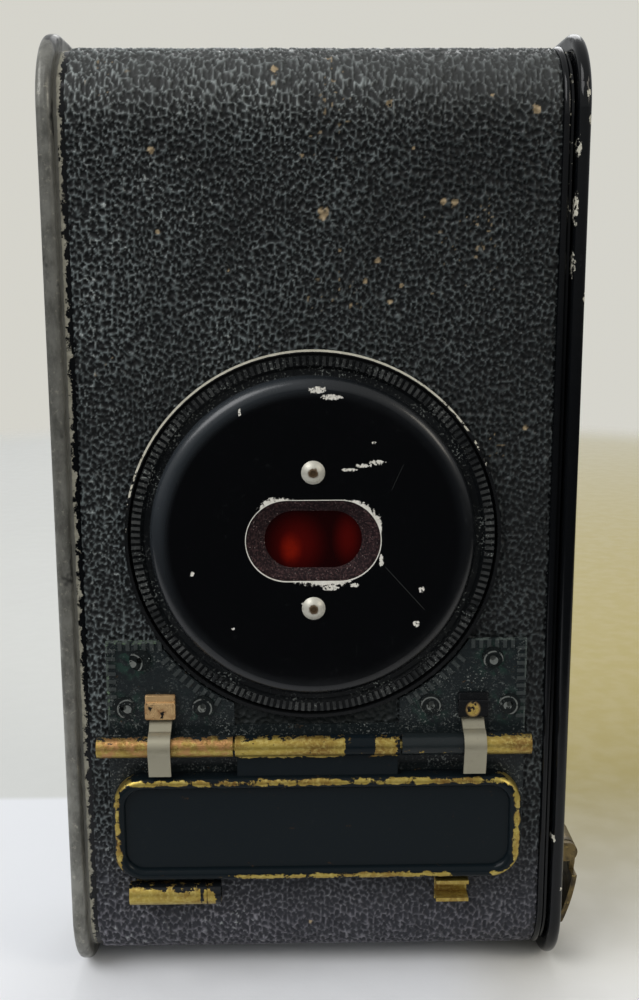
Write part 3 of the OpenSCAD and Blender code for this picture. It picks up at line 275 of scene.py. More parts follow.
def smooth_noise(u, v, seed):
    """Random numbers at whole (u, v), blended between them by ease in both directions."""
    table = np.random.default_rng(seed).random((TABLE_SIZE, TABLE_SIZE))
    i = np.floor(u).astype(int)
    j = np.floor(v).astype(int)
    a = ease(u - i)
    b = ease(v - j)
    i, next_i = i % TABLE_SIZE, (i + 1) % TABLE_SIZE
    j, next_j = j % TABLE_SIZE, (j + 1) % TABLE_SIZE
    near = table[i, j] * (1 - a) + table[next_i, j] * a
    far = table[i, next_j] * (1 - a) + table[next_i, next_j] * a
    return near * (1 - b) + far * b


def grid_faces(rows, columns, keep=None, around=False):
    """Four corners for every cell of a grid, as point numbers; around joins the last column on."""
    numbers = np.arange(rows * columns).reshape(rows, columns)
    if around:
        numbers = np.hstack([numbers, numbers[:, :1]])
    corners = (numbers[:-1, :-1], numbers[:-1, 1:], numbers[1:, 1:], numbers[1:, :-1])
    faces = np.stack(corners, axis=-1).reshape(-1, 4)
    return faces if keep is None else faces[keep.ravel()]


def build_piece(name, points, faces, values=None):
    """A smooth mesh object from points in mm and faces of four; unused points are left out."""
    used, numbers = np.unique(faces, return_inverse=True)
    numbers = numbers.reshape(faces.shape)
    mesh = bpy.data.meshes.new(name)
    mesh.vertices.add(len(used))
    mesh.vertices.foreach_set("co", (points[used] * MM).astype(np.float32).ravel())
    mesh.loops.add(numbers.size)
    mesh.loops.foreach_set("vertex_index", numbers.ravel().astype(np.int32))
    mesh.polygons.add(len(numbers))
    mesh.polygons.foreach_set("loop_start", np.arange(0, numbers.size, 4, dtype=np.int32))
    mesh.update(calc_edges=True)
    mesh.validate()
    mesh.shade_smooth()
    for key, column in (values or {}).items():
        stored = mesh.attributes.new(key, "FLOAT", "POINT")
        stored.data.foreach_set("value", column.ravel()[used].astype(np.float32))
    piece = bpy.data.objects.new(name, mesh)
    bpy.context.scene.collection.objects.link(piece)
    print(name, "has", 2 * len(faces), "triangles")
    return piece


# %% [markdown]
# ## The pebbled leather
# The body is wrapped in one strip of thin black leather, glued round the back, the top, the front and
# the foot. Its grain is a net of fine raised lines round small dark pits, stretched where the strip
# bends over the ends. A bump map would do from afar, but the outline of the top edge and the rows of
# highlights need real relief, so the strip is a fine grid bent along its path.

# %% The strip's path round the body
low, high = (np.array(corner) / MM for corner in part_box("leather_cover"))
LEATHER_R = 8.7
LEATHER_T = 0.4
back_y = low[1]
front_y = high[1]
straight = high[2] - low[2] - 2 * LEATHER_R
across_end = front_y - back_y - 2 * LEATHER_R
quarter = np.pi / 2 * LEATHER_R
turns = np.cumsum([0, straight, quarter, across_end, quarter, straight, quarter, across_end, quarter])
OPEN_LOW = 26.2
OPEN_HIGH = 94.8


def leather_path(s):
    """Point and outward direction at s mm along a rounded box: up the back, over the top, down.

    On a straight the point moves on by s; on a corner it turns about the corner's centre by s / r.
    """
    s = np.mod(s, turns[-1])
    part = np.clip(np.searchsorted(turns, s, side="right") - 1, 0, 7)
    t = s - turns[part]
    near_y = back_y + LEATHER_R
    far_y = front_y - LEATHER_R
    low_z = low[2] + LEATHER_R
    high_z = high[2] - LEATHER_R
    sine = np.sin(t / LEATHER_R)
    cosine = np.cos(t / LEATHER_R)
    rows = [(back_y, low_z + t, -1, 0),
            (near_y - LEATHER_R * cosine, high_z + LEATHER_R * sine, -cosine, sine),
            (near_y + t, high[2], 0, 1),
            (far_y + LEATHER_R * sine, high_z + LEATHER_R * cosine, sine, cosine),
            (front_y, high_z - t, 1, 0),
            (far_y + LEATHER_R * cosine, low_z - LEATHER_R * sine, cosine, -sine),
            (far_y - t, low[2], 0, -1),
            (near_y - LEATHER_R * sine, low_z - LEATHER_R * cosine, -sine, -cosine)]
    table = [[np.broadcast_to(value, s.shape) for value in row] for row in rows]
    return [np.choose(part, [row[k] for row in table]) for k in range(4)]


print("leather strip:", round(turns[-1], 1), "mm round and", round(high[0] - low[0], 1), "mm wide")


# %% The grain
CELL_WIDE = 0.64
CELL_HIGH = 0.76
CELL_HIGH_ON_BEND = 1.7


def stretched(s):
    """Number of grain cells passed at s: one in every CELL_HIGH mm, and fewer on the end bends.

    Cells are as high as CELL_HIGH_ON_BEND within 11 mm of a bend's middle, and not stretched at all
    from 20 mm on.
    """
    fine = np.linspace(-80.0, turns[-1], 4000)
    middle_top = (turns[1] + turns[4]) / 2
    middle_low = (turns[5] - turns[8]) / 2
    bend = np.minimum(np.abs(fine - middle_top), np.abs(fine - middle_low))
    pull = ease(np.clip((20.0 - bend) / 9.0, 0.0, 1.0))
    per_mm = 1 / CELL_HIGH + pull * (1 / CELL_HIGH_ON_BEND - 1 / CELL_HIGH)
    return np.interp(s, fine, np.cumsum(per_mm) * (fine[1] - fine[0]))


def leather_grain(x, s):
    """Height in mm, line strength and pit tone, from the distances to scattered seeds.

    One seed lies in each cell of a grid. F1 and F2 are the distances to the nearest two seeds. A pit
    is round where F1 is small, and the raised net runs half way between seeds, where F2 - F1 is 0.
    Smooth noise added to the place bends the net, so that its lines wander as in real grain.
    """
    u = x / CELL_WIDE + 0.60 * smooth_noise(x / 0.7, s / 0.8, 11) + 1.6 * smooth_noise(x / 5, s / 5, 13)
    v = stretched(s) + 0.55 * smooth_noise(x / 0.7, s / 0.8, 12) + 0.30 * u
    dice = np.random.default_rng(5).random((3, TABLE_SIZE, TABLE_SIZE))
    i = np.floor(u).astype(int)
    j = np.floor(v).astype(int)
    nearest = np.full(u.shape, 9.0)
    second = np.full(u.shape, 9.0)
    tone = np.zeros(u.shape)
    for di in (-1, 0, 1):
        for dj in (-1, 0, 1):
            p = (i + di) % TABLE_SIZE
            q = (j + dj) % TABLE_SIZE
            far = np.hypot(i + di + 0.08 + 0.84 * dice[0, p, q] - u,
                           j + dj + 0.08 + 0.84 * dice[1, p, q] - v)
            closer = far < nearest
            second = np.where(closer, nearest, np.minimum(second, far))
            tone = np.where(closer, dice[2, p, q], tone)
            nearest = np.minimum(nearest, far)
    rub = smooth_noise(x / 6.0, s / 6.0, 21)
    fine = smooth_noise(x / 0.33, s / 0.40, 31)
    rise = ease(np.clip((nearest - 0.22) / (0.28 + 0.14 * tone), 0.0, 1.0))
    seam = np.exp(-((second - nearest) / (0.16 + 0.11 * rub)) ** 2)
    net = rise * (0.22 + 0.78 * seam)
    height = -(0.17 + 0.17 * tone) * (1 - net) - 0.05 * fine
    return height, net * net * (0.25 + 0.75 * fine), tone


PITCH = 0.162
x_line = np.linspace(low[0], high[0], int((high[0] - low[0]) / PITCH))
x_line = np.concatenate([[low[0]], x_line, [high[0]]])
print("grain pitch:", PITCH, "mm, columns:", len(x_line))

# %% [markdown]
# ## Where the leather is cut away, spotted and rubbed
# Under the window disc and the writing plate there is no leather to see, and the writing slot is
# open, so those faces are dropped. The tan flecks are places where the black has come off and the raw
# skin shows. They could be painted as round dots, but a threshold on noise gives their torn shape.

# %% Flecks and cuts
FLECKS = [(-6.6, 116.2, 0.34), (-6.9, 114.4, 0.22), (-21.2, 106.8, 0.32), (-1.1, 99.7, 0.56),
          (6.7, 112.0, 0.36), (23.9, 111.5, 0.40), (14.4, 100.7, 0.40), (13.2, 100.9, 0.25),
          (0.9, 95.3, 0.18), (6.9, 89.3, 0.24), (3.9, 91.8, 0.26), (5.4, 94.1, 0.2), (-3.6, 106.2, 0.2),
          (8.3, 91.2, 0.2), (2.2, 88.9, 0.2), (9.5, 107.0, 0.2), (-20.6, 97.5, 0.22), (23.6, 74.0, 0.26),
          (-12.4, 93.0, 0.15), (18.7, 113.0, 0.2), (-3.0, 8.2, 0.2), (12.0, 90.2, 0.16)]
DISC_CENTRE = (-2.425, 60.5)
PLATE_X = -2.025
RING_CUT_R = 22.9
SLOT_CUT_Z = 27.2
SLOT_CUT_HALF = (26.2, 8.6)


def leather_flecks(x, z):
    """Strength of bare spots: noise plus nearness to a listed place, past a threshold."""
    torn = smooth_noise(x / 0.5, z / 0.5, 41) * 0.6 + smooth_noise(x / 0.22, z / 0.22, 42) * 0.4
    spots = np.zeros(x.shape)
    for spot_x, spot_z, size in FLECKS:
        near = np.exp(-((x - spot_x) ** 2 + (z - spot_z) ** 2) / (1.6 * size) ** 2)
        spots = np.maximum(spots, near)
    spots = np.clip((spots + torn - 1.05) * 5.0, 0.0, 1.0)
    tiny = smooth_noise(x / 0.42, z / 0.42, 43) * smooth_noise(x / 9.0, z / 9.0, 44)
    return np.maximum(spots, np.clip((tiny - 0.80) * 14.0, 0.0, 0.6))


def leather_piece(name, s_line, skirt_first=False, skirt_last=False):
    """A stretch of the strip: each point is the path at s, moved out by the grain's height."""
    if skirt_first:
        s_line = np.concatenate([s_line[:1], s_line])
    if skirt_last:
        s_line = np.concatenate([s_line, s_line[-1:]])
    x, s = np.meshgrid(x_line, s_line)
    y, z, out_y, out_z = leather_path(s)
    height, line, tone = leather_grain(x, s)
    flecks = leather_flecks(x, z) * (out_y < -0.4)
    height = height - 0.05 * flecks
    edge = np.minimum(x - low[0], high[0] - x)
    height = height - 0.16 * np.exp(-(edge / 0.3) ** 2)
    height[:, [0, -1]] = -LEATHER_T
    if skirt_first:
        height[0] = -LEATHER_T
    if skirt_last:
        height[-1] = -LEATHER_T
    points = np.stack([x, y + out_y * height, z + out_z * height], axis=-1)
    middle_x = (x[:-1, :-1] + x[1:, 1:]) / 2
    middle_z = (z[:-1, :-1] + z[1:, 1:]) / 2
    on_back = out_y[:-1, :-1] < -0.99
    under_ring = np.hypot(middle_x - DISC_CENTRE[0], middle_z - DISC_CENTRE[1]) < RING_CUT_R
    at_slot = np.abs(middle_x - PLATE_X) < SLOT_CUT_HALF[0]
    at_slot = at_slot & (np.abs(middle_z - SLOT_CUT_Z) < SLOT_CUT_HALF[1])
    faces = grid_faces(len(s_line), len(x_line), ~(on_back & (under_ring | at_slot)))
    return build_piece(name, points.reshape(-1, 3), faces, {"grain": line, "pit": tone, "fleck": flecks})


def evenly(first, last, pitch):
    """Numbers from first to last, about pitch apart."""
    return np.linspace(first, last, max(2, int(round((last - first) / pitch)) + 1))


front_top = turns[4] + (high[2] - LEATHER_R - OPEN_HIGH)
front_low = turns[5] - (OPEN_LOW - low[2] - LEATHER_R)
half_back = turns[1] / 2
leather_pieces = [
    leather_piece("leather_back_lower", evenly(0.0, half_back, PITCH)),
    leather_piece("leather_back_upper", evenly(half_back, turns[1], PITCH)),
    leather_piece("leather_top", np.concatenate([evenly(turns[1], turns[4], PITCH),
                                                 evenly(turns[4], front_top, 0.4)[1:]]),
                  skirt_last=True),
    leather_piece("leather_foot", np.concatenate([evenly(front_low, turns[5], 0.4)[:-1],
                                                  evenly(turns[5], turns[8], PITCH)]) - turns[8],
                  skirt_first=True)]

# %% [markdown]
# ## The leather's colour
# Old black leather is greyer on its raised lines, where hands have rubbed it, and part of that grey is a
# painted highlight where the ridges catch the light; the near black of its pits is painted shade. The
# colour could follow a second noise, but then the grey would not sit on the lines, so the mesh carries
# the strength of each line as an attribute and the material reads it. Large soft clouds of wear make the
# lines paler in places, and a painted shade darkens the right side against the left. Painted glints make
# the lines pale in patches, and a painted sheen lies on the bend at the top, on lines and pits alike.

# %% Leather finish
leather = Finish("pebbled_leather", (0.02, 0.02, 0.02), 0.5)
grain = leather.add("ShaderNodeAttribute", {}, attribute_name="grain").outputs["Fac"]
pit = leather.add("ShaderNodeAttribute", {}, attribute_name="pit").outputs["Fac"]
fleck = leather.add("ShaderNodeAttribute", {}, attribute_name="fleck").outputs["Fac"]
# Clouds of rub wear, times a painted shade that darkens the leather from the left side to the right.
rubbed_and_side_shade = leather.times(leather.step(leather.noise(16.0, 4.0), 0.3, 0.75, 0.55, 1.35),
                       leather.step(leather.x, -30.0, 30.0, 1.25, 0.65))
near_foot = leather.step(leather.z, 6.0, 26.0, 1.0, 0.0)
line_colour = leather.blend(near_foot, (0.150, 0.174, 0.175), (0.200, 0.192, 0.218))
# Painted glints: patches where the lines are painted near white, as if they caught the light.
painted_glints = leather.times(leather.step(leather.noise(0.9, 4.0, 0.7), 0.54, 0.72),
                      leather.step(leather.noise(9.0, 3.0, shift=6.0), 0.35, 0.62),
                      leather.step(leather.x, 20.0, -25.0, 0.35, 1.0))
# Painted sheen on the top bend: the lines there are painted paler.
bend_sheen = leather.step(leather.z, 107.0, 113.0, 0.0, 0.32)
line_colour = leather.blend(leather.most(painted_glints, bend_sheen), line_colour, (0.56, 0.60, 0.58))
# The pits are painted near black in random tones, a painted shade in the hollows.
pit_colour = leather.blend(pit, (0.0012, 0.0015, 0.0018), (0.0060, 0.0072, 0.0078))
pit_colour = leather.blend(near_foot, pit_colour, (0.026, 0.027, 0.033))
# Painted sheen: the pits on the top bend are painted lighter.
pit_colour = leather.blend(leather.step(leather.z, 108.0, 118.5), pit_colour, (0.042, 0.044, 0.043))
# Pale lines over dark pits: rub wear and a painted highlight on the ridges, painted shade in the pits.
leather.paint(leather.math("MULTIPLY", grain, rubbed_and_side_shade, clamp=True), pit_colour, line_colour)
bridge_strip = leather.box_distance((DISC_CENTRE[0], 36.4), (10.6, 3.0), 0.5)
leather.cover(leather.step(bridge_strip, 0.3, -0.3), (0.014, 0.017, 0.017))
raw = leather.blend(leather.noise(0.8, 2.0), (0.24, 0.17, 0.09), (0.48, 0.38, 0.24))
leather.cover(fleck, raw)
rough_line = leather.step(leather.noise(2.4, 4.0), 0.3, 0.7, 0.26, 0.44)
leather.set("Roughness", leather.plus(rough_line, leather.step(grain, 0.30, 0.05, 0.0, 0.25)))
leather.set("Specular IOR Level", 0.20)
leather.bump(leather.noise(0.18, 3.0), 0.02)
for piece in leather_pieces:
    piece.data.materials.append(leather.material)
    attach(piece, "body")
    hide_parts("leather_cover")

# %% [markdown]
# ## The bellows
# Behind the lens board the light path is closed by a black cloth bellows that tapers from the film
# gate to the lens. Its folds are spaced at rest so that, with the front pulled out by REACH and the
# pull eased along the bellows, they would lie evenly apart.

# %% Fold the bellows
gate_low, gate_high = (np.array(corner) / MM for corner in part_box("bellows"))
REACH = 60.0
FOLDS = 11
FOLD_DEPTH = 3.2
NECK = (30.0, 42.0)


def fold_places(count):
    """Rest places, 0 to 1, for an even row when out: rest * t + reach * (3t^2 - 2t^3) = even."""
    depth = gate_high[1] - gate_low[1]
    t = np.linspace(0.0, 1.0, 4001)
    pulled = depth * t + REACH * (3 * t ** 2 - 2 * t ** 3)
    return np.interp(np.linspace(0.0, pulled[-1], count), pulled, t)


def rounded_box_ring(wide, tall, corner, per_corner):
    """Points round a box with round corners, clockwise seen from the back, for arrays of sizes."""
    turn = np.linspace(0.0, np.pi / 2, per_corner)
    ring_x = []
    ring_z = []
    for sign_x, sign_z, start in ((1, 1, 0), (1, -1, 1), (-1, -1, 2), (-1, 1, 3)):
        angle = np.pi / 2 * (1 - start) - turn
        ring_x.append(sign_x * (wide[:, None] / 2 - corner) + corner * np.cos(angle))
        ring_z.append(sign_z * (tall[:, None] / 2 - corner) + corner * np.sin(angle))
    return np.concatenate(ring_x, axis=1), np.concatenate(ring_z, axis=1)


count = 4 * FOLDS + 1
along = fold_places(count)
even = np.linspace(0.0, 1.0, count)
fold_wave = (0.5 - 0.5 * np.cos(2 * np.pi * even * FOLDS)) ** 0.7
rear_wide = gate_high[0] - gate_low[0]
rear_tall = gate_high[2] - gate_low[2]
inset = 2 * FOLD_DEPTH * (1 - fold_wave)
wide = rear_wide + (NECK[0] + 2.0 - rear_wide) * even - inset
tall = rear_tall + (NECK[1] + 2.0 - rear_tall) * even - inset
ring_x, ring_z = rounded_box_ring(wide, tall, 2.0, 6)
centre_x = (gate_low[0] + gate_high[0]) / 2
centre_z = (gate_low[2] + gate_high[2]) / 2
depth_y = gate_low[1] + (gate_high[1] - gate_low[1]) * along
fold_points = np.stack([ring_x + centre_x, np.broadcast_to(depth_y[:, None], ring_x.shape),
                        ring_z + centre_z], axis=-1)
fold_value = np.broadcast_to(fold_wave[:, None], ring_x.shape)
bellows = build_piece("bellows_cloth", fold_points.reshape(-1, 3),
                      grid_faces(count, ring_x.shape[1], around=True), {"fold": fold_value})

# %% [markdown]
# ## The bellows' finish
# Bellows cloth is thin black leatherette: dull, with a fine cross grain, and worn grey on the edge of
# each fold. A weave texture would be too regular, so two stretched noises cross each other.

# %% Bellows finish
cloth = Finish("bellows_leatherette", (0.012, 0.012, 0.013), 0.7)
fold = cloth.add("ShaderNodeAttribute", {}, attribute_name="fold").outputs["Fac"]
thread = cloth.times(cloth.noise(0.5, 2.0, stretch=(1, 1, 0.2)), cloth.noise(0.5, 2.0, stretch=(0.2, 1, 1)))
worn_fold = cloth.times(cloth.step(fold, 0.9, 1.0), cloth.noise(3.0, 4.0))
cloth.paint(worn_fold, (0.011, 0.011, 0.012), (0.09, 0.088, 0.085))
cloth.mottle(cloth.noise(4.0, 3.0), 0.6, 0.8)
cloth.bump(thread, 0.08)
bellows.data.materials.append(cloth.material)
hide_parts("bellows")
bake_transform(bellows)

# %% [markdown]
# ## Black baked enamel
# The metal is coated in a black enamel that was baked hard. It is smooth and deep, with faint ripples,
# dust and hair scratches, and it chips to pale metal where it is knocked. One recipe makes all of the
# enamel, and each piece then says where its chips lie; on the plate rivets the same mask paints a pale
# ring as a painted highlight.


# %% The enamel recipe
def enamel(name, chips_and_highlights=None, mark_low=(0.36, 0.34, 0.26), mark_high=(0.76, 0.73, 0.62),
           base=(0.0032, 0.0036, 0.0042), gloss=(0.08, 0.24), mark_rough=0.55, shine=0.22):
    """Black enamel; the second argument gives a mask of bare chipped places, and on the plate rivets of a
    painted highlight.
    """
    coat = Finish(name, base, 0.15)
    coat.set("Specular IOR Level", shine)
    dust = coat.noise(0.9, 5.0, 0.7)
    haze = coat.plus(coat.times(coat.noise(9.0, 4.0), 0.6), coat.times(dust, 0.4))
    scratch = coat.noise(0.35, 2.0, stretch=(1.0, 1.0, 0.05), shift=7.0)
    fine_line = coat.times(coat.step(scratch, 0.70, 0.76), 0.12)
    grey = coat.times(coat.step(dust, 0.60, 0.80), 0.30)
    coat.paint(grey, base, (0.030, 0.032, 0.032))
    rough = coat.plus(coat.step(haze, 0.35, 0.7, *gloss), fine_line)
    height = coat.times(coat.noise(2.2, 2.0), 0.25)
    if chips_and_highlights:
        mask = chips_and_highlights(coat)
        # Chips, and on the plate rivets a painted highlight, take pale colours.
        coat.cover(mask, coat.blend(coat.noise(0.7, 3.0), mark_low, mark_high))
        rough = coat.plus(coat.times(rough, coat.minus(1.0, mask)), coat.times(mask, mark_rough))
        height = coat.minus(height, coat.times(mask, 0.7))
    coat.set("Roughness", rough)
    coat.bump(height, 0.03)
    return coat


def specks(coat, amount, region=1.0):
    """Tiny pale grains of dust, more of them where amount is larger."""
    grains = coat.step(coat.noise(0.30, 2.0, 0.6, shift=41.0), 0.74 - amount, 0.80 - amount)
    clouds_of_dust = coat.step(coat.noise(4.0, 3.0, shift=43.0), 0.40, 0.65)
    coat.cover(coat.times(grains, clouds_of_dust, region), (0.20, 0.215, 0.20))


def torn(coat, region, size, bare):
    """Chipped spots, and on the plate rivets a painted highlight, with a torn border inside a region: its
    strength plus noise of size mm must pass 1.5 less bare.
    """
    rough_edge = coat.noise(size, 4.0, 0.65, shift=3.0)
    return coat.step(coat.plus(region, rough_edge), 1.5 - bare, 1.55 - bare)


enamel("front_enamel").wear("front_plate", "shutter_case", "takeup_spool")
enamel("shutter_face_enamel", gloss=(0.2, 0.35)).wear("shutter_face")
enamel("bar_enamel", gloss=(0.25, 0.45)).wear(*[name for name in nodes if name.startswith("bar_")])
enamel("finder_enamel", gloss=(0.15, 0.3)).wear("finder_body")

# %% [markdown]
# ## The two rims
# A hand holds the camera by its two rolled rims, so they wear first. On the left the outer curve has
# gone down to grey brown metal, with a torn pale line where the enamel ends. On the right the enamel
# still shines, with pale slivers along the upper third. A mask painted by hand would not fit a
# changed rim, so the distance across each rim decides what shows, and noise tears the border.

# %% Rim finishes
left_low, left_high = (np.array(corner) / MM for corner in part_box("side_plate_left"))
rim = Finish("worn_rim_metal", (0.2, 0.19, 0.17), 0.4, 0.35)
rubs = rim.noise(3.0, 5.0, 0.7, stretch=(1, 1, 0.5))
rim.paint(rim.step(rubs, 0.32, 0.66), (0.075, 0.074, 0.064), (0.200, 0.198, 0.176))
pale = rim.step(rim.noise(0.7, 4.0, 0.7), 0.56, 0.74)
rim.cover(rim.times(pale, 0.55), (0.42, 0.40, 0.33))
rim.cover(rim.step(rim.noise(9.0, 4.0, shift=4.0), 0.60, 0.64), (0.020, 0.020, 0.019))
rim.mottle(rubs, 0.46, 0.28)
rim.bump(rim.noise(0.8, 4.0), 0.02)
rim.wear("side_plate_left")
print("left rim is", round(float(left_high[0] - left_low[0]), 2), "mm wide")
SHELL_LEFT = float(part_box("body_shell")[0][0]) / MM
SHELL_RIGHT = float(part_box("body_shell")[1][0]) / MM


def shell_chips(coat):
    """A torn pale line beside the left rim, and slivers on the bead beside the right one."""
    wander = coat.times(coat.noise(1.5, 5.0, 0.78), 2.6)
    left = coat.times(coat.step(coat.minus(coat.x, SHELL_LEFT, wander), -0.52, -0.58),
                      coat.step(coat.noise(1.8, 5.0, 0.7, shift=9.0), 0.40, 0.46))
    bead = coat.step(coat.x, SHELL_RIGHT - 1.0, SHELL_RIGHT - 0.6)
    high_up = coat.step(coat.z, 82.0, 104.0, 0.30, 0.78)
    return coat.most(left, torn(coat, coat.times(bead, high_up), 1.3, 0.14))


def right_rim_chips(coat):
    """Slivers near the top third of the rim's inner edge, a few on its outer edge."""
    slivers = coat.patch([(29.7, 113.0, 0.45, 1.0), (30.0, 110.0, 0.45, 1.6), (28.8, 107.0, 0.5, 2.2),
                          (28.7, 100.0, 0.4, 3.4), (28.6, 93.6, 0.45, 2.8), (30.1, 89.6, 0.4, 1.6),
                          (28.7, 20.0, 0.4, 1.2), (29.9, 13.0, 0.35, 0.9)], 0.8)
    near_back = coat.step(coat.y, -11.5, -13.0)
    return torn(coat, coat.times(slivers, near_back), 0.5, 0.05)


shell = enamel("shell_enamel", shell_chips, (0.16, 0.15, 0.115), (0.50, 0.48, 0.39))
from_rim = shell.minus(shell.x, SHELL_LEFT, shell.times(shell.noise(1.6, 5.0, 0.7), 0.5))
worn_metal = shell.blend(shell.noise(2.0, 4.0), (0.085, 0.084, 0.072), (0.22, 0.215, 0.19))
shell.cover(shell.step(from_rim, 0.18, 0.08), worn_metal)
shell.wear("body_shell")
enamel("right_rim_enamel", right_rim_chips).wear("side_cover_right")

# %% [markdown]
# ## The ring round the disc
# A fixed lip stands round a track of fine ridges that a thumb nail turns the disc by. The ridges are
# already cut in the solid. Their tops are rubbed grey, and the thin edge of the lip has lost its
# enamel in a broken pale line, most of all along the upper half.

# %% Ring and lip finishes
lip_low = float(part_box("disc_lip")[0][1]) / MM
LIP_RADIUS = float(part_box("disc_lip")[1][0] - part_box("disc_lip")[0][0]) / 2 / MM
print("lip radius:", round(LIP_RADIUS, 2), "mm")


def lip_chips(coat):
    """Bare metal on the outer top edge of the lip, more often above the centre and on the left."""
    top_edge = coat.step(coat.y, lip_low + 0.20, lip_low + 0.10)
    outer = coat.step(coat.ring_distance(DISC_CENTRE), LIP_RADIUS - 0.34, LIP_RADIUS - 0.22)
    above = coat.step(coat.z, 48.0, 76.0, 0.42, 1.0)
    left_part = coat.step(coat.x, 20.0, 6.0, 0.80, 1.0)
    return torn(coat, coat.times(top_edge, above, left_part, outer), 0.9, 0.20)


enamel("lip_enamel", lip_chips, base=(0.006, 0.0065, 0.007), gloss=(0.2, 0.4)).wear("disc_lip")
ring_low = float(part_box("serrated_ring")[0][1]) / MM


def ridge_wear(coat):
    """Grey on the top 0.1 mm of the ridges, in clouds."""
    top = coat.step(coat.y, ring_low + 0.14, ring_low + 0.03)
    return coat.times(top, coat.step(coat.noise(5.0, 4.0), 0.35, 0.65, 0.10, 0.70))


ring = enamel("ring_enamel", ridge_wear, (0.035, 0.038, 0.038), (0.105, 0.107, 0.102),
              base=(0.0060, 0.0070, 0.0078), gloss=(0.22, 0.42), mark_rough=0.36)
specks(ring, 0.16)
ring.wear("serrated_ring")

# %% [markdown]
# ## The window disc
# The disc is the glossiest piece: deep black, hardly worn, with a pale broken line round the window
# where the enamel has flaked off the cut edge, and single chips that have places of their own. Such
# chips could be scattered by noise alone, but here each is an oval patch whose border noise tears.
# Two hair scratches are drawn as lines, and the shoulder is duller, with a grey sheen at the upper left
# that is a painted highlight in its colour.

# %% Disc finish
WINDOW_CENTRE = DISC_CENTRE
WINDOW_HALF = (8.25, 5.05)
DISC_CHIPS = [(-1.9, 79.0, 1.3, 0.45), (-0.2, 78.1, 1.5, 0.35), (5.3, 70.2, 1.2, 0.32),
              (3.6, 69.8, 1.2, 0.26), (1.9, 69.3, 1.2, 0.20), (4.9, 72.6, 0.35, 0.16),
              (10.9, 54.3, 0.42, 0.42), (10.3, 49.9, 0.5, 0.45), (-2.6, 52.6, 1.6, 0.3),
              (3.4, 64.2, 0.9, 0.5), (5.0, 62.6, 0.6, 0.9), (-17.3, 56.5, 0.35, 0.3),
              (-11.2, 76.3, 0.22, 0.5), (-12.4, 49.5, 0.3, 0.2), (-0.3, 54.6, 1.2, 0.35),
              (2.6, 54.9, 0.7, 0.3), (-8.0, 65.3, 0.5, 0.25), (5.9, 58.0, 0.35, 0.8)]


def disc_chips(coat):
    """The line round the window and the single chipped spots."""
    from_window = coat.box_distance(WINDOW_CENTRE, WINDOW_HALF, 5.04)
    flaky = coat.patch([(4.2, 63.6, 3.2, 2.6), (-0.8, 55.2, 3.4, 1.4), (-7.6, 65.4, 2.2, 1.2)], 0.8)
    reach = coat.plus(1.5, coat.times(flaky, 1.4))
    crumbly = coat.times(coat.noise(0.55, 5.0, 0.8, shift=5.0), reach)
    edge = coat.step(coat.minus(from_window, crumbly), -0.92, -0.98)
    rim_line = coat.step(from_window, 0.11, 0.07)
    bigger = [(x, z, 1.35 * wide, 1.6 * high) for x, z, wide, high in DISC_CHIPS]
    singles = torn(coat, coat.patch(bigger, 0.7), 0.32, 0.10)
    return coat.most(edge, rim_line, singles)


def hair_scratch(coat, x0, z0, x1, z1, wide):
    """1 on a straight scratch: near the line by its normal distance, and between its two ends."""
    length = float(np.hypot(x1 - x0, z1 - z0))
    along_x = (x1 - x0) / length
    along_z = (z1 - z0) / length
    from_x = coat.minus(coat.x, x0)
    from_z = coat.minus(coat.z, z0)
    along = coat.plus(coat.times(from_x, along_x), coat.times(from_z, along_z))
    aside = coat.minus(coat.times(from_x, along_z), coat.times(from_z, along_x))
    near = coat.step(coat.math("ABSOLUTE", aside), wide, wide * 0.4)
    inside = coat.times(coat.step(along, 0.0, 0.5), coat.step(along, length, length - 0.5))
    return coat.times(near, inside)


disc = enamel("disc_enamel", disc_chips, (0.55, 0.52, 0.44), (0.86, 0.84, 0.78),
              base=(0.0012, 0.0014, 0.0019), gloss=(0.05, 0.14), shine=0.42)
for scratch_line in ((6.3, 57.3, 11.4, 51.6, 0.05), (7.0, 66.6, 8.6, 70.1, 0.03)):
    disc.cover(hair_scratch(disc, *scratch_line), (0.030, 0.032, 0.031))
from_centre = disc.ring_distance(DISC_CENTRE)
# Painted highlight: a bluish grey sheen on the shoulder at the upper left, where the enamel is still black.
shoulder_sheen = disc.times(disc.step(from_centre, 17.4, 18.9), disc.step(disc.x, 6.0, -12.0, 0.15, 0.9),
                      disc.step(disc.z, 50.0, 68.0, 0.2, 1.0), disc.step(disc.so_far(), 0.10, 0.02))
disc.cover(shoulder_sheen, (0.026, 0.031, 0.036))
duller = disc.step(from_centre, 17.0, 19.2, 0.0, 0.17)
disc.set("Roughness", disc.plus(disc.so_far("Roughness"), duller))
disc.wear("back_disc")

# %% [markdown]
# ## The red window
# Film numbers are read through a small pane of ruby glass at the bottom of a sloped frame. The slope
# has gathered purplish dust. The glass looks almost black, with a deep red glow at its lower left
# where light comes back off the paper behind it. Real glass would need that paper and a lamp behind,
# so the glow is painted into the pane's colour by place, under a clear coat.

# %% Window finishes
slope = Finish("dusty_slope", (0.02, 0.012, 0.012), 0.75)
grit = slope.noise(0.28, 3.0, 0.75)
slope.paint(slope.step(grit, 0.45, 0.70), (0.009, 0.004, 0.005), (0.070, 0.036, 0.036))
slope.cover(slope.step(slope.noise(0.16, 1.0), 0.70, 0.76), (0.34, 0.27, 0.25))
slope.set("Specular IOR Level", 0.15)
slope.bump(grit, 0.08)
slope.wear("window_frame")

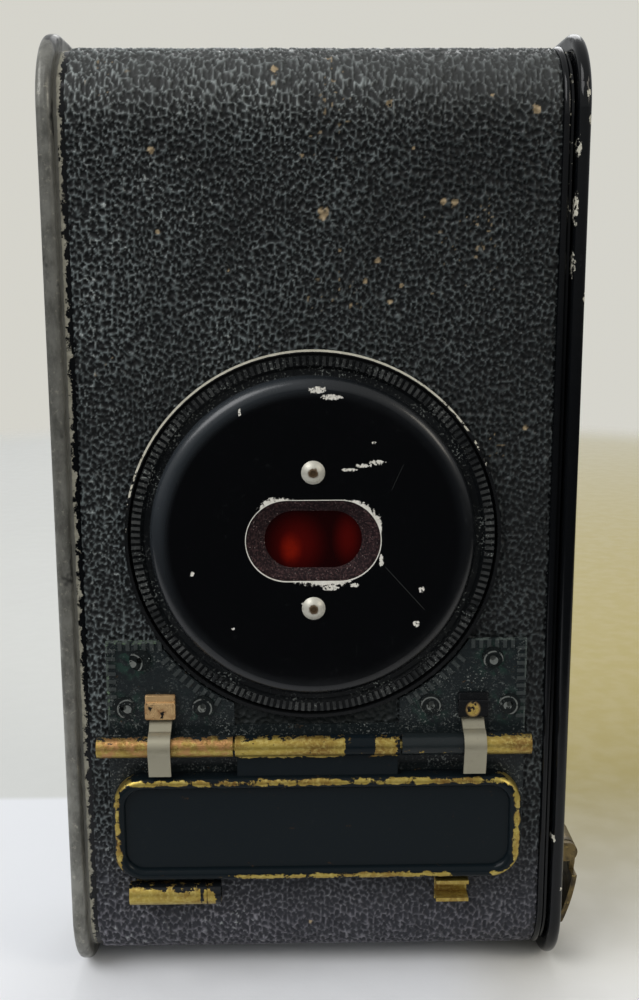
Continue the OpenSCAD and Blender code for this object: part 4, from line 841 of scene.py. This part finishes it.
ruby = Finish("ruby_glass", (0.03, 0.0, 0.0), 0.12)
glow = ruby.patch([(-4.4, 59.9, 2.3, 2.6), (1.8, 60.6, 1.2, 2.2)], 0.85)
hot = ruby.patch([(-5.2, 59.3, 1.0, 1.5)], 0.7)
ruby.paint(glow, (0.010, 0.0006, 0.0008), (0.060, 0.0022, 0.0015))
ruby.cover(ruby.times(hot, ruby.noise(1.2, 3.0)), (0.22, 0.009, 0.0025))
ruby.set("Specular IOR Level", 0.1)
ruby.set("Coat Weight", 0.15)
ruby.set("Coat Roughness", 0.04)
ruby.bump(ruby.noise(1.5, 2.0), 0.02)
ruby.wear("red_window")

# %% [markdown]
# ## Nickel
# Rivets, door springs and the shutter's levers were nickel plated. Old nickel is a warm pale grey with
# a soft sheen, and dirt stays in its hollows. It is a metal shader with a slightly yellow tint, and
# noise in the roughness does what fingers did.


# %% Nickel recipe
def nickel(name, stain=None, tint=(0.62, 0.59, 0.52), shine=(0.22, 0.42), metal=0.85):
    """Plated metal; stain is a function of the finish that gives a mask of brown dirt."""
    plate = Finish(name, tint, 0.3, metal)
    spots = plate.step(plate.noise(0.7, 5.0, 0.7), 0.58, 0.72)
    plate.paint(plate.times(spots, 0.6), tint, (0.22, 0.19, 0.14))
    if stain:
        plate.cover(stain(plate), (0.085, 0.050, 0.022))
    plate.mottle(plate.noise(2.0, 4.0), *shine)
    plate.bump(plate.noise(0.4, 3.0), 0.012)
    return plate


def rivet_dimple(plate):
    """Brown dirt within about 0.6 mm of each rivet's middle, with a ragged border."""
    upper = plate.ring_distance((DISC_CENTRE[0], 69.0))
    lower = plate.ring_distance((DISC_CENTRE[0], 52.0))
    ragged = plate.times(plate.noise(0.5, 4.0), 0.5)
    return plate.step(plate.plus(plate.math("MINIMUM", upper, lower), ragged), 1.0, 0.75)


nickel("rivet_nickel", rivet_dimple, (0.52, 0.50, 0.43), (0.38, 0.5), metal=0.35).wear("disc_rivets")
nickel("spring_nickel", tint=(0.285, 0.265, 0.195), shine=(0.34, 0.5), metal=0.5).wear("door_springs")
nickel("lever_nickel").wear("finger_tabs", "aperture_lever", "release_lever", "foot_stand",
                            "finder_mount")
nickel("barrel_nickel", shine=(0.18, 0.3)).wear("lens_barrel", "speed_dial")

# %% [markdown]
# ## Brass that shows through black
# The hinge barrel, the door's raised border, the stylus tube and its clip are brass under black. Where
# fingers and the stylus rubbed them, the brass shines through, brown at the borders of each bare
# patch. The bare part is a threshold on noise added to how exposed each place is. The key is a darker,
# browner brass all over, yellow only where it was rubbed.

# %% Old brass
BRASS_DARK = (0.20, 0.115, 0.030)
BRASS_LIGHT = (0.37, 0.275, 0.062)


def brass_colour(coat):
    """Yellow metal that turns copper brown in long soft clouds, with a few dark pits."""
    stain = coat.noise(4.0, 5.0, 0.65, stretch=(0.6, 1, 1), shift=13.0)
    colour = coat.blend(coat.step(stain, 0.36, 0.60), BRASS_DARK, BRASS_LIGHT)
    colour = coat.blend(coat.step(coat.noise(0.5, 4.0, 0.7), 0.42, 0.75), colour, (0.50, 0.40, 0.13))
    pits = coat.step(coat.noise(0.45, 3.0, 0.7, shift=17.0), 0.66, 0.72)
    return coat.blend(pits, colour, (0.05, 0.034, 0.014))


def rubbed_brass(name, exposed, base=(0.004, 0.005, 0.006)):
    """Black over brass: bare where exposed plus noise passes 1, with a brown border round it."""
    coat = enamel(name, base=base, gloss=(0.14, 0.32))
    ragged = coat.step(coat.noise(1.2, 6.0, 0.75, stretch=(0.7, 1, 1), shift=21.0), 0.30, 0.70)
    edge = coat.plus(exposed(coat), ragged)
    bare = coat.step(edge, 1.00, 1.04)
    coat.cover(coat.step(edge, 0.95, 1.0), (0.05, 0.028, 0.012))
    coat.cover(bare, brass_colour(coat))
    coat.set("Roughness", coat.step(bare, 0.0, 1.0, 0.20, 0.36))
    coat.set("Metallic", coat.times(bare, 0.75))
    return coat


brass = Finish("stained_brass", BRASS_LIGHT, 0.35, 0.75)
brass.set("Base Color", brass_colour(brass))
brass.mottle(brass.noise(1.0, 4.0), 0.28, 0.5)
brass.bump(brass.noise(0.6, 4.0), 0.03)
brass.wear("door_hinge_pin", "stylus_clip")
key = Finish("dark_key_brass", (0.10, 0.07, 0.03), 0.4, 0.6)
key.paint(key.step(key.noise(2.2, 5.0, 0.7), 0.35, 0.62), (0.030, 0.022, 0.012), (0.155, 0.110, 0.040))
key.cover(key.step(key.noise(0.6, 4.0), 0.60, 0.72), (0.30, 0.215, 0.075))
key.mottle(key.noise(1.0, 4.0), 0.3, 0.5)
key.bump(key.noise(0.6, 4.0), 0.03)
key.wear("key_blade", "key_pin", "key_shaft")


def tube_exposed(coat):
    """Bare brass, but for a torn black line along the top and a black end."""
    top = coat.step(coat.z, 14.5, 15.4, 0.98, 0.30)
    joint = coat.patch([(-16.9, 14.0, 0.25, 4.0), (-14.4, 14.0, 0.9, 4.0)], 0.4)
    return coat.minus(top, coat.times(joint, 0.7))


rubbed_brass("socket_brass", tube_exposed).wear("stylus_socket")

# %% [markdown]
# ## The writing plate and its door
# The plate carries the hinge: five rubbed stretches of barrel over a dull black plate whose lugs have
# gone slightly green round their rivets, where the brass below has corroded. The door's raised border
# is rubbed through along its top and sides, while the panel inside it stayed black. Dust specks lie on
# the plate and its rivets, and copper shows at the left end of the barrel.

# %% Plate and door finishes
HINGE_Y = -16.225
HINGE_Z = 34.1


def barrel_exposed(coat):
    """High on the barrel's front, none off it, and low near its black stretch right of the middle."""
    on_barrel = coat.step(coat.ring_distance((HINGE_Y, HINGE_Z), "yz"), 1.75, 1.45)
    off_line = coat.math("ABSOLUTE", coat.plus(coat.minus(coat.z, HINGE_Z), 0.12))
    proud = coat.times(coat.step(off_line, 1.90, 0.90), coat.step(coat.y, -16.0, -16.5))
    black = coat.patch([(3.3, HINGE_Z, 1.9, 9.0), (13.4, HINGE_Z, 5.4, 20.0)], 0.14)
    return coat.times(on_barrel, proud, coat.minus(0.98, coat.times(black, 0.92)))


PLATE_RIVETS = [(-25.2, 44.6), (20.3, 44.6), (-26.0, 38.6), (22.2, 38.6), (-16.6, 38.6), (12.4, 38.6)]
plate = rubbed_brass("plate_black", barrel_exposed, (0.0100, 0.0135, 0.0145))
low_down = plate.step(plate.y, -14.9, -14.7)
coppery = plate.times(plate.step(plate.noise(1.6, 4.0, 0.7, shift=17.0), 0.42, 0.58, 0.05, 0.85),
                      plate.step(plate.x, -10.0, -13.0, 0.12, 1.0),
                      plate.step(plate.so_far(), 0.06, 0.16))
plate.cover(coppery, (0.40, 0.205, 0.085))
green = plate.times(plate.patch([(x, z, 2.0, 2.0) for x, z in PLATE_RIVETS], 0.6),
                    plate.step(plate.noise(1.2, 4.0, shift=31.0), 0.45, 0.6), low_down, 0.55)
plate.cover(green, (0.020, 0.055, 0.040))
sandy = plate.times(plate.step(plate.noise(0.45, 4.0, 0.75), 0.54, 0.70), low_down,
                    plate.step(plate.z, 43.5, 40.5, 0.35, 1.0), 0.6)
plate.cover(sandy, (0.105, 0.118, 0.115))
border = plate.box_distance((PLATE_X, 32.9), (26.5, 14.5), 0.4)
lug_edge = plate.times(plate.step(border, -0.75, -0.25), plate.step(plate.x, -12.0, -22.0, 0.25, 0.75),
                       plate.step(plate.z, 36.0, 38.0))
plate.cover(torn(plate, lug_edge, 0.7, 0.26), (0.115, 0.165, 0.105))
plate.cover(plate.times(plate.step(plate.y, -14.62, -14.70), low_down, 0.8), (0.040, 0.046, 0.045))
# Painted highlight: a pale line in patches just inside the outer edge of the lugs.
lug_edge_highlight = plate.times(plate.step(border, -0.28, -0.10), plate.step(plate.z, 35.0, 37.0),
                        plate.step(plate.noise(1.1, 4.0), 0.40, 0.60))
plate.cover(lug_edge_highlight, (0.075, 0.090, 0.082))
specks(plate, 0.15, plate.times(low_down, plate.step(plate.z, 44.0, 41.0, 0.5, 1.0)))
plate.bump(plate.noise(0.5, 4.0, 0.7), 0.06)
plate.wear("slot_plate")


def rivet_rim_highlight_and_dust(coat):
    """A thin pale line round each rivet head, a painted highlight on its edge, and dust in its hollow."""
    lines = []
    for centre in PLATE_RIVETS:
        away = coat.ring_distance(centre)
        lines += [coat.step(coat.apart(away, 1.20), 0.16, 0.08), coat.step(away, 0.62, 0.50)]
    return torn(coat, coat.times(coat.most(*lines), 0.95), 0.8, 0.16)


rivets = enamel("plate_rivet_enamel", rivet_rim_highlight_and_dust, (0.055, 0.062, 0.058), (0.19, 0.20, 0.185),
                base=(0.005, 0.007, 0.007), gloss=(0.2, 0.4))
specks(rivets, 0.14)
rivets.wear("plate_rivets")

DOOR_CENTRE = (PLATE_X, 23.1)
DOOR_HALF = (26.0, 7.0)


def door_exposed(coat):
    """The border of the door: strongest on its crest, more at the top and the sides."""
    inside = coat.box_distance(DOOR_CENTRE, DOOR_HALF, 2.6)
    crest = coat.times(coat.step(inside, -1.30, -0.65), coat.step(inside, 0.05, -0.50))
    top = coat.step(coat.z, 27.5, 29.0, 0.0, 0.78)
    sides = coat.step(coat.apart(coat.x, DOOR_CENTRE[0]), 24.0, 25.2, 0.0, 0.86)
    low_part = coat.times(coat.patch([(1.0, 16.6, 14.5, 2.0), (22.0, 17.5, 2.0, 1.5)], 0.12), 0.76)
    border = coat.times(crest, coat.most(top, sides, low_part))
    knuckles = coat.times(barrel_exposed(coat), coat.step(coat.z, 31.5, 32.5))
    return coat.most(border, knuckles)


door = rubbed_brass("door_black", door_exposed, (0.0045, 0.0075, 0.0095))
door.set("Specular IOR Level", 0.10)
door.wear("slot_door")

bridge = enamel("bridge_black", gloss=(0.2, 0.36))
gold = bridge.times(bridge.patch([(17.7, 38.4, 0.8, 0.9)], 0.3),
                    bridge.step(bridge.noise(0.8, 4.0), 0.36, 0.44))
on_left = bridge.times(bridge.step(bridge.x, 0.0, -2.0), bridge.step(bridge.noise(1.4, 5.0), 0.34, 0.42))
copper = bridge.blend(bridge.step(bridge.noise(1.6, 4.0), 0.32, 0.60), (0.30, 0.15, 0.06),
                      (0.62, 0.41, 0.20))
bare_metal = bridge.most(on_left, gold)
bridge.cover(bare_metal, bridge.blend(gold, copper, (0.56, 0.40, 0.10)))
bridge.set("Metallic", bridge.times(bare_metal, 0.6))
bridge.wear("spring_bridges")
bridges = nodes["spring_bridges"]
joined = bridges.modifiers.new("join_corners", "WELD")
joined.merge_threshold = 0.00001
rounded = bridges.modifiers.new("round_edges", "BEVEL")
rounded.width = 0.7 * MM
rounded.segments = 3
rounded.limit_method = "ANGLE"
rounded.angle_limit = 0.7

# %% [markdown]
# ## Inside the camera
# The film chamber, brackets and frames are painted with dull black so that they throw no light on the
# film, and the pins and rails are bare steel with a brushed grain. They show only when the side cover
# is off or the front is out, but they are finished in the same way as the outside.

# %% Inner finishes
dull_black = Finish("chamber_black", (0.012, 0.012, 0.012), 0.8)
dull_black.paint(dull_black.step(dull_black.noise(1.2, 5.0, 0.7), 0.5, 0.75), (0.010, 0.010, 0.011),
                 (0.045, 0.043, 0.040))
dull_black.mottle(dull_black.noise(3.0, 3.0), 0.68, 0.88)
dull_black.bump(dull_black.noise(0.3, 3.0), 0.03)
dull_black.wear("film_chamber", "window_retainer", "bellows_rear_frame", "bellows_front_frame",
                "body_brackets", "front_brackets", "rear_cell", "aperture_disc")

steel = Finish("brushed_steel", (0.45, 0.45, 0.46), 0.3, 0.9)
brushed = steel.noise(0.5, 3.0, stretch=(0.1, 1, 1))
steel.paint(steel.step(steel.noise(1.5, 5.0), 0.45, 0.7), (0.42, 0.42, 0.43), (0.22, 0.20, 0.17))
steel.mottle(brushed, 0.22, 0.45)
steel.bump(brushed, 0.01)
steel.wear("film_guide_rails", "spool_springs", "spool_pins_left", "spool_pin_right", "cover_catches",
           "shutter_blade_left", "shutter_blade_right")

paper = Finish("film_backing_paper", (0.30, 0.03, 0.02), 0.6)
fibre = paper.noise(0.4, 4.0, stretch=(0.3, 1, 1))
paper.paint(fibre, (0.20, 0.018, 0.014), (0.36, 0.045, 0.03))
spool_low, spool_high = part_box("supply_spool")
spool_middle = float(spool_low[0] + spool_high[0]) / 2 / MM
spool_half = float(spool_high[0] - spool_low[0]) / 2 / MM
flange = paper.step(paper.apart(paper.x, spool_middle), spool_half - 1.2, spool_half - 1.1)
paper.cover(flange, (0.012, 0.012, 0.013))
paper.mottle(fibre, 0.5, 0.7)
paper.bump(fibre, 0.02)
paper.wear("supply_spool")

# %% [markdown]
# ## Lenses
# The lens and the finder windows are clear glass. Clear glass alone would show only what lies behind
# it, so the shader has full transmission, a faint tint and a very light film of dust in its roughness.

# %% Lens finish
glass = Finish("lens_glass", (0.93, 0.95, 0.96), 0.03)
glass.set("Transmission Weight", 1.0)
glass.set("IOR", 1.52)
glass.paint(glass.noise(3.0, 3.0), (0.90, 0.93, 0.95), (0.97, 0.98, 0.98))
glass.set("Roughness", glass.step(glass.noise(0.6, 5.0, 0.7), 0.5, 0.8, 0.01, 0.10))
glass.wear("lenses", "finder_lenses")
FEWEST_NODES = 8
shown = [name for name in nodes if name not in ("leather_cover", "bellows")]
plain = [name for name in shown if len(nodes[name].data.materials[0].node_tree.nodes) < FEWEST_NODES]
print("CAD pieces shown:", len(shown), "and still plain:", plain)

# %% [markdown]
# ## The table, the wall and the light
# The camera stands on a white table close to an off white wall. A wall just behind it would be in the
# way of the pulled out front, so the wall's colour is painted on the table beyond the line where the
# two met, with the warm shade that lay on it to the right. Further out the table fades away, and the
# world shows the wall's colour. The light is a soft lamp from the upper left and a pale sky; below
# the horizon the sky is dark, so that the black disc mirrors little and stays black.

# %% Table
TABLE_HALF = 700.0
TABLE_POINTS = 29
EYE_DISTANCE = 160.0
WALL_LINE = 43.0
WALL_COLOUR = (0.665, 0.655, 0.60)


def table_points():
    """A flat square of points at height 0: x and y run evenly from one side to the other."""
    line = np.linspace(-TABLE_HALF, TABLE_HALF, TABLE_POINTS)
    x, y = np.meshgrid(line, line)
    return np.stack([x, y, np.zeros_like(x)], axis=-1).reshape(-1, 3)


table = build_piece("table", table_points(), grid_faces(TABLE_POINTS, TABLE_POINTS))
top = Finish("table_paint", (0.8, 0.8, 0.8), 0.6)
soft = top.noise(60.0, 3.0)
table_white = top.blend(soft, (0.75, 0.76, 0.79), (0.81, 0.82, 0.84))
wall_white = top.blend(soft, (0.60, 0.605, 0.58), (0.64, 0.645, 0.62))
top.paint(top.step(top.y, WALL_LINE - 1.2, WALL_LINE + 1.2), table_white, wall_white)
# Painted shadow: a warm shade on the table to the right of the camera, strongest near it, for the camera's
# shadow on the wall.
sideways = top.math("DIVIDE", top.x, top.plus(top.y, EYE_DISTANCE))
warm = top.times(top.step(sideways, 0.08, 0.18), top.step(top.y, 1000.0, 30.0),
                 top.step(top.y, -40.0, 60.0, 0.1, 1.0))
top.cover(warm, (0.42, 0.345, 0.125))
top.set("Alpha", top.step(top.ring_distance((0.0, 230.0), "xy"), 290.0, 375.0, 1.0, 0.0))
top.mottle(top.noise(5.0, 3.0), 0.5, 0.7)
top.bump(top.noise(1.0, 3.0), 0.02)
table.data.materials.append(top.material)

# %% Sky and lamps
world = bpy.data.worlds.new("pale_room")
bpy.context.scene.world = world
world.use_nodes = True
sky = world.node_tree
direction = sky.nodes.new("ShaderNodeTexCoord").outputs["Generated"]
split = sky.nodes.new("ShaderNodeSeparateXYZ")
height = sky.nodes.new("ShaderNodeMapRange")
for name, value in (("From Min", -0.10), ("From Max", 0.25), ("To Min", 0.04), ("To Max", 0.62)):
    height.inputs[name].default_value = value
sky_light = sky.nodes["Background"]
sky_light.inputs["Color"].default_value = (0.97, 0.99, 1.0, 1.0)
seen = sky.nodes.new("ShaderNodeBackground")
seen.inputs["Color"].default_value = (*WALL_COLOUR, 1.0)
path = sky.nodes.new("ShaderNodeLightPath")
chooser = sky.nodes.new("ShaderNodeMixShader")
for output, socket in ((direction, split.inputs[0]),
                       (split.outputs["Z"], height.inputs["Value"]),
                       (height.outputs["Result"], sky_light.inputs["Strength"]),
                       (path.outputs["Is Camera Ray"], chooser.inputs["Fac"]),
                       (sky_light.outputs[0], chooser.inputs[1]),
                       (seen.outputs[0], chooser.inputs[2]),
                       (chooser.outputs[0], sky.nodes["World Output"].inputs["Surface"])):
    sky.links.new(output, socket)
LAMPS_AIM = Vector((0.0, 0.0, 0.06))


def soft_lamp(name, place, size, watts, colour):
    """A square lamp of size metres at place, turned so that its face looks at the camera's middle."""
    lamp_data = bpy.data.lights.new(name, "AREA")
    lamp_data.size = size
    lamp_data.energy = watts
    lamp_data.color = colour
    lamp = bpy.data.objects.new(name, lamp_data)
    facing = (LAMPS_AIM - Vector(place)).to_track_quat("-Z", "Y").to_matrix().to_4x4()
    lamp.matrix_world = Matrix.Translation(place) @ facing
    bpy.context.scene.collection.objects.link(lamp)


soft_lamp("window_light", (-0.55, -0.45, 0.75), 0.6, 5.8, (0.99, 0.99, 1.0))
soft_lamp("room_light", (0.7, -0.5, 0.5), 0.3, 1.6, (1.0, 0.93, 0.80))
soft_lamp("back_light", (0.1, 0.8, 0.7), 0.5, 2.0, (1.0, 1.0, 1.0))
bpy.context.scene.view_settings.view_transform = "Standard"
